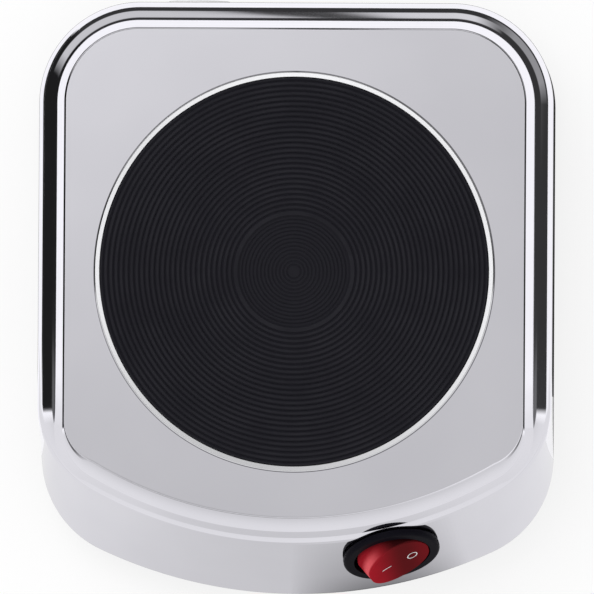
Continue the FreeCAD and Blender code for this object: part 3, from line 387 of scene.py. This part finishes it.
def polished_steel(colours):
    """Mirror polish with faint wiping marks, a breath of waviness and painted shade in the dark joint round the
    trim ring.
    """
    joint_shade_half = 0.0001
    joint_shade_soft = 0.00025
    joint_shade_cover = 0.8
    wave_height = 0.00003
    finish = new_finish("polished_steel")
    place = finish.place()
    smear = finish.noise(90.0, 4.0, 0.6, place)
    cloud = finish.noise(38.0, 2.0, 0.5, place)
    waves = finish.noise(16.0, 1.0, 0.4, place)
    steel = finish.blend(cloud, shade(colours.steel, 0.95), shade(colours.steel, 1.05))
    across, along = finish.parts_of(place)[:2]
    out = off_axis(across, along, RING_LOW, RING_HIGH)
    rim = (RING_HIGH.x - RING_LOW.x) / 2
    # Dark line at the trim ring's edge: painted shade of the gap between ring and panel
    joint = out.between(rim - joint_shade_soft, rim - joint_shade_half)
    joint = joint - out.between(rim + joint_shade_half, rim + joint_shade_soft)
    finish.set(Base_Color=finish.blend(joint * joint_shade_cover, steel, colours.joint), Metallic=1.0,
               Roughness=0.035 + 0.03 * smear)
    finish.bump(waves, wave_height)
    return finish.owner


def plate_coating(colours):
    """Matt black coating with turning marks, speckled gloss and a painted sheen on the ridge tops, in patches."""
    turning_pitch = 0.00032
    turning_share = 0.4
    sheen_depth = 0.00012
    grain_height = 0.00002
    finish = new_finish("plate_coating")
    across, along, height = finish.parts_of(finish.place())
    out = off_axis(across, along, PLATE_LOW, PLATE_HIGH)
    turning = (out * (2 * math.pi / turning_pitch)).wave()
    speckle = finish.noise(900.0, 2.0, 0.6)
    patches = finish.noise(120.0, 3.0)
    # Ridge tops lighter in patches: painted sheen
    sheen_mask = height.between(PLATE_HIGH.z - sheen_depth, PLATE_HIGH.z) * patches.between(0.25, 0.75)
    finish.set(Base_Color=finish.blend(sheen_mask, colours.plate, colours.ridge_sheen), Metallic=0.0,
               Roughness=0.55 + 0.15 * speckle, Specular_IOR_Level=0.12)
    finish.bump(speckle + turning_share * turning, grain_height)
    return finish.owner


def rocker_plastic(colours, sizes):
    """Clear red moulding with painted light and shade: painted light at the raised end, dim in the middle, a
    painted glow on the raised end's flank and painted shade inside the mouth.
    """
    grain_height = 0.000004
    far_glow = 0.25
    mouth_shade_cover = 0.85
    finish = new_finish("rocker_plastic")
    turn = SwitchPlace(sizes).rocker.inverted()

    def along(row):
        return finish.add("ShaderNodeVectorMath", {"operation": "DOT_PRODUCT"},
                          {0: finish.place(), 1: row.to_3d()}, output=1) + row[3]

    across = along(turn.row[0])
    height = along(turn.row[2])
    end = sizes.face_half
    hollow = sizes.face + sizes.pivot_depth - sizes.dish
    on_face = height.between(hollow - sizes.dish, hollow)
    flank = height.between(hollow * 0.3, hollow * 0.75) - on_face
    # Painted light towards the raised end and a little at the far end, a painted glow on the raised end's flank
    # and painted shade on the flank inside the mouth
    lit = 1.0 - across.between(-end, end * 0.2) + far_glow * across.between(end * 0.3, end)
    glow = flank * (1.0 - across.between(-end, -end * 0.4))
    deep = (1.0 - on_face) * across.between(-end * 0.5, end * 0.1)
    cloud = finish.noise(260.0, 3.0)
    face = finish.blend(lit * cloud.uneven(), colours.rocker_dark, colours.rocker_lit)
    face = finish.blend(deep * mouth_shade_cover, face, colours.rocker_mouth_shade)
    finish.set(Base_Color=finish.blend(glow, face, colours.rocker_flank_glow), Roughness=0.25 + 0.1 * cloud,
               Specular_IOR_Level=0.0)
    finish.bump(finish.noise(1500.0), grain_height)
    return finish.owner


FINISHES = {
    # name: colour, metallic, roughness, grain, depth of the grain
    "element_sheath": ((0.25, 0.24, 0.23), 1.0, 0.45, 700.0, 0.00001),
    "insulation": ((0.72, 0.70, 0.66), 0.0, 0.9, 500.0, 0.00008),
    "aluminised": ((0.70, 0.71, 0.72), 1.0, 0.4, 600.0, 0.00001),
    "ceramic": ((0.80, 0.79, 0.76), 0.0, 0.22, 400.0, 0.000008),
    "zinc": ((0.62, 0.63, 0.65), 1.0, 0.32, 900.0, 0.000006),
    "base_paint": ((0.03, 0.03, 0.032), 0.0, 0.45, 1100.0, 0.00002),
    "foot_rubber": ((0.02, 0.02, 0.021), 0.0, 0.75, 900.0, 0.00002),
    "brass": ((0.72, 0.55, 0.28), 1.0, 0.3, 800.0, 0.000006),
    "bakelite": ((0.05, 0.035, 0.03), 0.0, 0.3, 600.0, 0.000008),
    "gland_nylon": ((0.78, 0.78, 0.79), 0.0, 0.4, 900.0, 0.000008),
    "lamp_glass": ((0.85, 0.62, 0.55), 0.0, 0.1, 500.0, 0.000004),
    "lead_brown": ((0.20, 0.09, 0.04), 0.0, 0.55, 700.0, 0.00001),
    "lead_white": ((0.75, 0.73, 0.68), 0.0, 0.8, 1400.0, 0.00003),
    "lead_blue": ((0.05, 0.13, 0.45), 0.0, 0.55, 700.0, 0.00001),
    "lead_green": ((0.10, 0.36, 0.10), 0.0, 0.55, 700.0, 0.00001),
}


def mesh_object(name, points, faces, normals, material):
    """Smooth mesh, with its own normals where they are given."""
    mesh = bpy.data.meshes.new(name)
    mesh.from_pydata(points, [], faces)
    mesh.polygons.foreach_set("use_smooth", [True] * len(faces))
    mesh.materials.append(material)
    if normals:
        mesh.normals_split_custom_set_from_vertices(normals)
    made = bpy.data.objects.new(name, mesh)
    bpy.context.scene.collection.objects.link(made)
    return made


class Skin:
    """Rings of points with normals, joined into bands."""

    def __init__(self):
        self.points = []
        self.normals = []
        self.faces = []
        self.last = None

    def ring(self, rows, joined=True):
        """Add a ring of points and join it to the last one."""
        start = len(self.points)
        count = len(rows)
        for point, normal in rows:
            self.points.append(point)
            self.normals.append(normal.normalized())
        if joined and self.last is not None:
            for i in range(count):
                after = (i + 1) % count
                self.faces.append((self.last + i, self.last + after, start + after, start + i))
        self.last = start

    def open_hole(self, middle, axis, radius):
        """Drop the faces that lie round an axis within a radius, near its middle."""
        kept = []
        for face in self.faces:
            centre = sum((self.points[i] for i in face), Vector()) / len(face) - middle
            along = centre.dot(axis)
            if abs(along) > 2 * radius or (centre - axis * along).length > radius:
                kept.append(face)
        self.faces = kept

    def build(self, name, material):
        """Mesh of the faces that are left, with only the points that they use."""
        used = sorted(set(i for face in self.faces for i in face))
        place = {old: new for new, old in enumerate(used)}
        return mesh_object(name, [self.points[i] for i in used],
                           [tuple(place[i] for i in face) for face in self.faces],
                           [self.normals[i] for i in used], material)


def sphere_point(way, lift):
    """Point at distance 1, turned round the object and lifted off the floor."""
    return Vector((math.cos(way) * math.cos(lift), math.sin(way) * math.cos(lift), math.sin(lift)))


def bow_swing(half, bow, front_corner):
    """Turn from the middle of the bowed front to the start of its corners."""
    return math.asin((half - front_corner) / (bow - front_corner))


def outline(half, back, back_corner, front, bow, front_corner):
    """Points and outward directions round the housing, the same directions for every outline."""
    side = half - front_corner
    span = bow - front_corner
    bow_middle = Vector((0, front + bow, 0))
    corner_y = bow_middle.y - math.sqrt(span ** 2 - side ** 2)
    swing = bow_swing(half, bow, front_corner)
    rows = []

    def run(start, end, out, steps):
        for k in range(steps):
            rows.append((start.lerp(end, k / steps), out))

    def turn(place, low, high, steps):
        for k in range(steps):
            way = math.radians(low + (high - low) * k / steps)
            out = sphere_point(way, 0)
            rows.append((place(way, out), out))

    def front_place(way, out):
        off = way - math.radians(270)
        if abs(off) <= swing:
            return bow_middle + out * bow
        return Vector((math.copysign(side, off), corner_y, 0)) + out * front_corner

    turn(front_place, 180, 360, 2 * ARC_STEPS + BOW_STEPS)
    in_y = back - back_corner
    in_x = half - back_corner
    run(Vector((half, corner_y, 0)), Vector((half, in_y, 0)), Vector((1, 0, 0)), SIDE_STEPS)
    turn(lambda way, out: Vector((in_x, in_y, 0)) + out * back_corner, 0, 90, ARC_STEPS)
    run(Vector((in_x, back, 0)), Vector((-in_x, back, 0)), Vector((0, 1, 0)), SIDE_STEPS)
    turn(lambda way, out: Vector((-in_x, in_y, 0)) + out * back_corner, 90, 180, ARC_STEPS)
    run(Vector((-half, in_y, 0)), Vector((-half, corner_y, 0)), Vector((-1, 0, 0)), SIDE_STEPS)
    return rows


def at(point, height):
    """The same place at another height."""
    return Vector((point.x, point.y, height))


def facing(out, way):
    """Direction of a face that is turned from straight up towards the outside."""
    return out * math.sin(way) + UP * math.cos(way)


# One place round the walls: its foot, the way out, the way it faces, the start of the roll and its bend
Wall = namedtuple("Wall", "foot out normal meet bend")


def shell_walls(skin, sizes):
    """Turned-in lip, walls and rolled shoulder."""
    shoulder = sizes.panel - sizes.step
    low = outline(sizes.half_width, sizes.back, sizes.back_corner, sizes.front, sizes.bow,
                  sizes.front_corner)
    high = outline(sizes.half_width, sizes.back, sizes.back_corner, sizes.front + sizes.lean,
                   sizes.bow - sizes.lean, sizes.front_corner)
    walls = []
    for (foot, out), (top, _) in zip(low, high):
        rise = at(top, shoulder) - at(foot, sizes.foot)
        lean = math.atan2(-rise.dot(out), rise.z)
        normal = out * math.cos(lean) + UP * math.sin(lean)
        reach = sizes.roll * math.tan((math.pi / 2 - lean) / 2)
        meet = at(top, shoulder) - rise * (reach * math.cos(lean) / rise.z)
        walls.append(Wall(at(foot, sizes.foot), out, normal, meet, math.pi / 2 - lean))
    skin.ring([(wall.foot - wall.out * sizes.lip, -UP) for wall in walls])
    skin.ring([(wall.foot - wall.out * sizes.hem, -UP) for wall in walls])
    for k in range(1, HEM_STEPS + 1):
        way = math.pi / 2 * k / HEM_STEPS
        inward = sizes.hem * (1 - math.sin(way))
        lift = sizes.hem * (1 - math.cos(way))
        skin.ring([(wall.foot - wall.out * inward + UP * lift,
                    wall.out * math.sin(way) - UP * math.cos(way)) for wall in walls])
    for k in range(1, WALL_STEPS + 1):
        part = k / WALL_STEPS
        skin.ring([((wall.foot + UP * sizes.hem).lerp(wall.meet, part), wall.normal) for wall in walls])
    for k in range(1, ROLL_STEPS + 1):
        rows = []
        for wall in walls:
            face = facing(wall.out, wall.bend * (1 - k / ROLL_STEPS))
            rows.append((wall.meet - wall.normal * sizes.roll + face * sizes.roll, face))
        skin.ring(rows)
    skin.ring([(wall.meet - wall.normal * sizes.roll + UP * sizes.roll - wall.out * sizes.hem, UP)
               for wall in walls])


def shell_step(skin, sizes):
    """Sloping step, its rounded edge and the flat panel up to the hole for the plate."""
    shoulder = sizes.panel - sizes.step
    half = sizes.half_width - sizes.step_inset
    bow = sizes.bow - sizes.lean - sizes.step_front
    foot = outline(half, sizes.back - sizes.step_inset, sizes.step_back_corner,
                   sizes.front + sizes.lean + sizes.step_front, bow, sizes.step_front_corner)
    slope = sizes.step_slope
    swing = bow_swing(half, bow, sizes.step_front_corner)
    rows = []
    for point, out in foot:
        off = math.acos(max(-1.0, min(1.0, -out.y)))
        even = max(0.0, min(1.0, (off - swing) / (math.pi / 2 - swing)))
        rows.append((point, out, sizes.step_front_edge + (sizes.step_edge - sizes.step_front_edge) * even))
    bend = math.tan(slope / 2)
    top_out = -sizes.step / math.tan(slope)
    skin.last = None
    skin.ring([(at(point + out * (sizes.step_root / math.tan(slope)), shoulder - sizes.step_root),
                facing(out, slope)) for point, out, edge in rows])
    for k in range(EDGE_STEPS + 1):
        way = slope * (1 - k / EDGE_STEPS)
        ring = []
        for point, out, edge in rows:
            place = point + out * (top_out - edge * bend + edge * math.sin(way))
            ring.append((at(place, sizes.panel - edge * (1 - math.cos(way))), facing(out, way)))
        skin.ring(ring)
    centre = at((RING_LOW + RING_HIGH) / 2, sizes.panel)
    rim = [at(point + out * (top_out - edge * bend), sizes.panel) for point, out, edge in rows]
    hole = [centre + (point - centre).normalized() * sizes.panel_hole for point in rim]
    for k in range(1, PANEL_STEPS + 1):
        skin.ring([(point.lerp(end, k / PANEL_STEPS), UP) for point, end in zip(rim, hole)])


class OBJECT_OT_hot_plate_housing(bpy.types.Operator):
    """Pressed and polished steel housing"""

    bl_idname = "object.hot_plate_housing"
    bl_label = "Housing"

    def execute(self, context):
        scene = context.scene
        sizes = scene.hot_plate_housing
        skin = Skin()
        shell_walls(skin, sizes)
        shell_step(skin, sizes)
        switch = SwitchPlace(scene.hot_plate_switch)
        skin.open_hole(switch.seat, switch.out, scene.hot_plate_switch.hole)
        gland = (GLAND_LOW + GLAND_HIGH) / 2
        skin.open_hole(Vector((gland.x, sizes.back, gland.z)), Vector((0, 1, 0)), sizes.gland_hole)
        housing = skin.build("housing_skin", polished_steel(scene.hot_plate_colours))
        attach(housing, "housing")
        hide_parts("housing_shell")
        return {"FINISHED"}


class OBJECT_OT_hot_plate_ring(bpy.types.Operator):
    """Polished trim ring round the plate"""

    bl_idname = "object.hot_plate_ring"
    bl_label = "Trim ring"

    def execute(self, context):
        sizes = context.scene.hot_plate_housing
        centre = (RING_LOW + RING_HIGH) / 2
        outer = (RING_HIGH.x - RING_LOW.x) / 2
        inner = (PLATE_HIGH.x - PLATE_LOW.x) / 2 + sizes.ring_gap
        flat_end = outer - sizes.ring_round
        high = RING_HIGH.z - sizes.ring_fall - sizes.ring_round
        lean = math.atan2(sizes.ring_fall, flat_end - inner)
        section = [(outer, sizes.panel, 0.0)]
        for k in range(EDGE_STEPS + 1):
            way = (math.pi / 2 - lean) * k / EDGE_STEPS
            section.append((flat_end + sizes.ring_round * math.cos(way),
                            high + sizes.ring_round * math.sin(way), way))
        section.append((inner, RING_HIGH.z, math.pi / 2 - lean))
        section.append((inner, RING_HIGH.z, math.pi))
        section.append((inner, RING_LOW.z + sizes.ring_lip, math.pi))
        skin = Skin()
        last = None
        for radius, height, way in section:
            rows = []
            for k in range(RING_STEPS):
                out = sphere_point(2 * math.pi * k / RING_STEPS, 0)
                rows.append((at(centre, height) + out * radius, out * math.cos(way) + UP * math.sin(way)))
            skin.ring(rows, joined=(radius, height) != last)
            last = (radius, height)
        ring = skin.build("ring_skin", bpy.data.materials["polished_steel"])
        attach(ring, "housing")
        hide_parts("trim_ring")
        return {"FINISHED"}


class OBJECT_OT_hot_plate_finishes(bpy.types.Operator):
    """Finishes of the pieces that keep their solid form"""

    bl_idname = "object.hot_plate_finishes"
    bl_label = "Finishes"

    def execute(self, context):
        scene = context.scene
        colours = scene.hot_plate_colours
        made = {name: general_finish(name, *values) for name, values in FINISHES.items()}
        made["polished_steel"] = bpy.data.materials["polished_steel"]
        made["plate_black"] = plate_coating(colours)
        made["switch_black"] = general_finish("switch_black", tuple(colours.moulding), 0.0, 0.4, 1600.0,
                                              0.000008, shine=0.035)
        made["rocker_red"] = rocker_plastic(colours, scene.hot_plate_switch)
        for row in frame["record"]["subparts"]:
            node = frame["nodes"][row["node"]]
            node.data.materials.clear()
            node.data.materials.append(made[row["material_slot"]])
        return {"FINISHED"}


class OBJECT_OT_hot_plate_marks(bpy.types.Operator):
    """Ring and bar marks printed on the rocker"""

    bl_idname = "object.hot_plate_marks"
    bl_label = "Switch marks"

    def execute(self, context):
        scene = context.scene
        sizes = scene.hot_plate_switch
        place = SwitchPlace(sizes).rocker
        bend = (sizes.face_half ** 2 + sizes.dish ** 2) / (2 * sizes.dish)
        white = tuple(scene.hot_plate_colours.marks)
        print_finish = general_finish("mark_print", white, 0.0, 0.5, 2000.0, 0.000003)
        hollow = sizes.face + sizes.pivot_depth - sizes.dish

        def on_face(x, y):
            rise = bend - math.sqrt(bend ** 2 - x ** 2)
            return place @ Vector((x, y, hollow + rise + MARK_LIFT))

        half = sizes.mark_line / 2
        points = []
        faces = []
        for k in range(MARK_RING_STEPS):
            way = 2 * math.pi * k / MARK_RING_STEPS
            for radius in (sizes.off_radius - half, sizes.off_radius + half):
                points.append(on_face(sizes.off_place + radius * math.cos(way), radius * math.sin(way)))
            after = (k + 1) % MARK_RING_STEPS
            faces.append((2 * k, 2 * k + 1, 2 * after + 1, 2 * after))
        start = len(points)
        for k in range(MARK_BAR_STEPS + 1):
            x = -sizes.on_place + sizes.on_length * (k / MARK_BAR_STEPS - 0.5)
            points.append(on_face(x, -half))
            points.append(on_face(x, half))
            if k:
                low = start + 2 * k
                faces.append((low - 2, low, low + 1, low - 1))
        marks = mesh_object("rocker_marks", points, faces, None, print_finish)
        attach(marks, "rocker")
        return {"FINISHED"}


CARDS = (
    # name, first and last in degrees round the object, soft ends in degrees, start on the floor (none for a
    # card that hangs), lowest and highest in degrees, its level there, share of the cards' reach
    ("card_dark", -5, 185, (4, 3), 0.4, 0, 75, (0.035, 0.035), 1.0),
    ("card_left", 130, 185, (5, 3), 0.19, 0, 75, (0.013, 0.013), 0.99),
    ("card_before", 186, 354, (5, 5), 0.1, 0, 76, (0.78, 0.62), 1.03),
    ("pane_left", 92.8, 158, (0.8, 12), None, 20, 61, (0.6, 0.6), 0.97),
    ("pane_back", 58, 91.6, (18, 0.8), None, 24, 60, (0.7, 0.7), 0.97),
    ("pane_right", 4, 70, (14, 20), None, 4, 44, (0.3, 0.3), 0.96),
    ("pane_front_left", 178, 224, (1, 16), None, 54, 75, (0.12, 0.12), 0.97),
    ("pane_front_right", 316, 362, (22, 1), None, 54, 75, (0.15, 0.15), 0.97),
)


def grid_faces(rows, columns):
    """Faces between the points of a grid that is stored row by row."""
    faces = []
    for i in range(1, rows):
        for j in range(1, columns):
            corner = i * columns + j
            faces.append((corner, corner - 1, corner - columns - 1, corner - columns))
    return faces


def studio_card(name, first, last, soft, start, low, high, levels, reach):
    """Soft-edged card that only reflections see; a standing one runs over the floor, then curves up."""
    points = []
    cover = []
    tones = []
    feet = ((start, 0.0), (start * FOOT_FADE, 1.0)) if start else ()
    for i in range(CARD_STEPS + 1):
        way = first + (last - first) * i / CARD_STEPS
        side = min(1.0, (way - first) / soft[0], (last - way) / soft[1])
        out = sphere_point(math.radians(way), 0)
        for place, part in feet:
            points.append(at(out * place, CARD_HEIGHT))
            cover.append(part * side)
            tones.append(levels[0])
        for j in range(CARD_RISE_STEPS + 1):
            part = j / CARD_RISE_STEPS
            lift = low + (high - low) * part
            points.append(sphere_point(math.radians(way), math.radians(lift)) * reach + UP * CARD_HEIGHT)
            foot = 1.0 if start else (lift - low) / HANGING_SOFT
            head = (high - lift) / (STANDING_SOFT if start else HANGING_SOFT)
            cover.append(side * min(1.0, foot, head))
            tones.append(levels[0] + (levels[1] - levels[0]) * part ** 2)
    reflected_card(name, points, cover, tones, grid_faces(CARD_STEPS + 1, len(points) // (CARD_STEPS + 1)))


def overhead_tone(x, y):
    """Grey, paler to the back left, and white where the trim ring mirrors it, less so at the front."""
    middle = OVERHEAD_TONE + OVERHEAD_RIGHT * x + OVERHEAD_BACK * y + OVERHEAD_BOTH * x * y
    radius = RING_IMAGE[2]
    pale = max(0.0, 1.0 - abs(math.hypot(x, y) - radius) / RING_WHITE_HALF)
    bright = RING_WHITE - RING_WHITE_FALL * max(0.0, -y) / radius
    return middle + (bright - middle) * min(1.0, 2 * pale)


def overhead_card(reach):
    """Round card above the object, mirrored by the panel and the trim ring."""
    points = []
    cover = []
    tones = []
    for i in range(CARD_STEPS + 1):
        way = 2 * math.pi * i / CARD_STEPS
        for j in range(OVERHEAD_STEPS + 1):
            off = OVERHEAD_EDGE * j / OVERHEAD_STEPS
            points.append(sphere_point(way, math.radians(90 - off)) * reach)
            cover.append(min(1.0, OVERHEAD_EDGE - off))
            x = off * math.cos(way) - RING_IMAGE[0]
            y = off * math.sin(way) - RING_IMAGE[1]
            tones.append(overhead_tone(x, y))
    reflected_card("card_top", points, cover, tones, grid_faces(CARD_STEPS + 1, OVERHEAD_STEPS + 1))


def reflected_card(name, points, cover, tones, faces):
    """Stage piece that only reflections see, with its cover and its tone at each point."""
    finish = new_finish(name)
    card = mesh_object(name, points, faces, None, finish.owner)
    for label, values in (("cover", cover), ("tone", tones)):
        card.data.attributes.new(label, "FLOAT", "POINT").data.foreach_set("value", values)
    read = {label: finish.add("ShaderNodeAttribute", {"attribute_name": label}, None, output="Fac")
            for label in ("cover", "tone")}
    finish.set(Base_Color=(0, 0, 0), Specular_IOR_Level=0.0, Emission_Color=read["tone"],
               Emission_Strength=1.0, Alpha=read["cover"])
    card.visible_camera = False
    card.visible_diffuse = False
    card.visible_shadow = False
    card.visible_transmission = False


class OBJECT_OT_hot_plate_stage(bpy.types.Operator):
    """White floor, soft light, studio cards and the camera"""

    bl_idname = "object.hot_plate_stage"
    bl_label = "Stage"

    def execute(self, context):
        scene = context.scene
        sizes = scene.hot_plate_stage
        scene.view_settings.view_transform = "Standard"
        self.world(scene, sizes)
        self.floor(scene, sizes)
        for *shape, reach in CARDS:
            studio_card(*shape, reach * sizes.card_reach)
        overhead_card(sizes.card_reach)
        self.floor_cards(scene)
        self.lamp(scene)
        self.camera(scene, sizes)
        return {"FINISHED"}

    def floor_cards(self, scene):
        """Painted shadows that only reflections see: a grey card before the front wall, a dark card in the gap
        under the walls and the shade of the switch.
        """
        housing = scene.hot_plate_housing
        rows = outline(housing.half_width, housing.back, housing.back_corner, housing.front, housing.bow,
                       housing.front_corner)
        front = rows[:2 * ARC_STEPS + BOW_STEPS + 1]
        count = len(front)
        ends = [min(1.0, min(i, count - 1 - i) / (FRONT_ENDS * count)) for i in range(count)]
        shadow_tones = [FRONT_SHADOW_TONE + FRONT_SHADOW_RISE * (point.x / housing.half_width) ** 2 for point, out in front]
        bands = [((CARD_START, 1.0), (FRONT_FADE[0], part), (FRONT_FADE[1], 0.0)) for part in ends]
        self.floor_card("card_front_shadow", front, bands, shadow_tones, 2)

        # Dark card under the walls: painted shadow in the gap under the body
        closed = rows + rows[:1]
        shoulder = outline(housing.half_width, housing.back, housing.back_corner,
                           housing.front + housing.lean, housing.bow - housing.lean, housing.front_corner)
        turn = shoulder[count][0].y
        behind = [max(0.0, min(1.0, (point.y - turn) / GAP_RUN)) for point, out in closed]
        wide = [GAP_NARROW + GAP_WIDENING * part for part in behind]
        bands = [((CARD_START, 1.0), (reach * GAP_FULL, 1.0), (reach, 0.0)) for reach in wide]
        self.floor_card("card_gap_shadow", closed, bands, [GAP_SHADOW_TONE] * len(closed), 3)

        middle = at(SwitchPlace(scene.hot_plate_switch).seat, 0) + SHADE_SHIFT
        away = [(at(point, 0) - middle).length / SHADE_RADIUS for point, out in front]
        near = [max(0.0, 1.0 - part ** 2) for part in away]
        bands = [[(reach, part * cover) for reach, cover in SHADE_BANDS] for part in near]
        self.floor_card("card_switch", front, bands, [SHADE_TONE] * count, 4)

    def floor_card(self, name, rows, bands, tone, layer):
        """Card along an outline, with its cover at some distances from it and its tone at each point."""
        points = []
        cover = []
        tones = []
        for (point, out), reaches, level in zip(rows, bands, tone):
            for reach, part in reaches:
                points.append(at(point + out * reach, layer * CARD_HEIGHT))
                cover.append(part)
                tones.append(level)
        reflected_card(name, points, cover, tones, grid_faces(len(rows), len(bands[0])))

    def world(self, scene, sizes):
        """Soft light from all around; camera and reflections see plain white."""
        scene.world = bpy.data.worlds.new("studio")
        finish = Finish(scene.world, "ShaderNodeBackground")
        path = finish.tree.nodes.new("ShaderNodeLightPath")
        seen = Wire(finish, path.outputs["Is Camera Ray"]) + Wire(finish, path.outputs["Is Glossy Ray"])
        seen = seen + Wire(finish, path.outputs["Is Transmission Ray"])
        finish.set(Color=(1.0, 1.0, 1.0), Strength=sizes.sky + (1.0 - sizes.sky) * seen)

    def floor(self, scene, sizes):
        """Round floor, partly lit by itself so that shadows stay soft."""
        points = [UP * FLOOR_HEIGHT]
        for k in range(FLOOR_STEPS):
            edge = sphere_point(2 * math.pi * k / FLOOR_STEPS, 0) * sizes.floor_radius
            points.append(edge + UP * FLOOR_HEIGHT)
        faces = [(0, k + 1, (k + 1) % FLOOR_STEPS + 1) for k in range(FLOOR_STEPS)]
        finish = new_finish("studio_floor")
        tone = tuple(part * (FLOOR_LEVEL - sizes.glow) for part in scene.hot_plate_colours.floor)
        finish.set(Base_Color=tone, Roughness=1.0, Specular_IOR_Level=0.0,
                   Emission_Color=(1.0, 1.0, 1.0), Emission_Strength=sizes.glow)
        floor = mesh_object("studio_floor", points, faces, None, finish.owner)

    def lamp(self, scene):
        """Large soft lamp at the back left that reflections don't see."""
        data = bpy.data.lights.new("soft_lamp", "AREA")
        data.shape = "DISK"
        data.size = LAMP_SIZE
        data.energy = LAMP_POWER
        made = bpy.data.objects.new("soft_lamp", data)
        made.location = LAMP_PLACE
        made.rotation_euler = (-LAMP_PLACE).to_track_quat("-Z", "Y").to_euler()
        made.visible_glossy = False
        scene.collection.objects.link(made)

    def camera(self, scene, sizes):
        """Long lens, almost straight down."""
        data = bpy.data.cameras.new("camera")
        data.sensor_width = SENSOR_WIDTH
        data.lens = data.sensor_width * sizes.distance / sizes.view_width
        data.clip_end = CLIP_END
        made = bpy.data.objects.new("camera", data)
        target = Vector((sizes.target_x, sizes.target_y, sizes.target_z))
        back = Vector((math.tan(sizes.side_tilt), -math.tan(sizes.tilt), 1.0)).normalized()
        right = Vector((0, 1, 0)).cross(back).normalized()
        turn = Matrix((right, back.cross(right), back)).transposed().to_4x4()
        made.matrix_world = (Matrix.Translation(target + back * sizes.distance) @ turn
                             @ Matrix.Rotation(sizes.roll, 4, "Z"))
        scene.collection.objects.link(made)
        scene.camera = made


class VIEW3D_PT_hot_plate(bpy.types.Panel):
    """Lists the pieces of the hot plate and its stage"""

    bl_label = "Hot Plate"
    bl_idname = "VIEW3D_PT_hot_plate"
    bl_space_type = "VIEW_3D"
    bl_region_type = "UI"
    bl_category = "Hot Plate"

    def draw(self, context):
        for operator in OPERATORS:
            self.layout.operator(operator.bl_idname)


GROUPS = {
    "hot_plate_housing": HousingSizes,
    "hot_plate_switch": SwitchSizes,
    "hot_plate_colours": FinishColours,
    "hot_plate_stage": StageSizes,
}
OPERATORS = (
    OBJECT_OT_hot_plate_housing,
    OBJECT_OT_hot_plate_ring,
    OBJECT_OT_hot_plate_finishes,
    OBJECT_OT_hot_plate_marks,
    OBJECT_OT_hot_plate_stage,
)
CLASSES = (*GROUPS.values(), *OPERATORS, VIEW3D_PT_hot_plate)


def register():
    for one in CLASSES:
        bpy.utils.register_class(one)
    for name, group in GROUPS.items():
        setattr(bpy.types.Scene, name, bpy.props.PointerProperty(type=group))


def unregister():
    for name in GROUPS:
        delattr(bpy.types.Scene, name)
    for one in reversed(CLASSES):
        bpy.utils.unregister_class(one)


def main():
    register()
    bpy.ops.object.hot_plate_housing()
    bpy.ops.object.hot_plate_ring()
    bpy.ops.object.hot_plate_finishes()
    bpy.ops.object.hot_plate_marks()
    bpy.ops.object.hot_plate_stage()


if __name__ == "__main__":
    main()
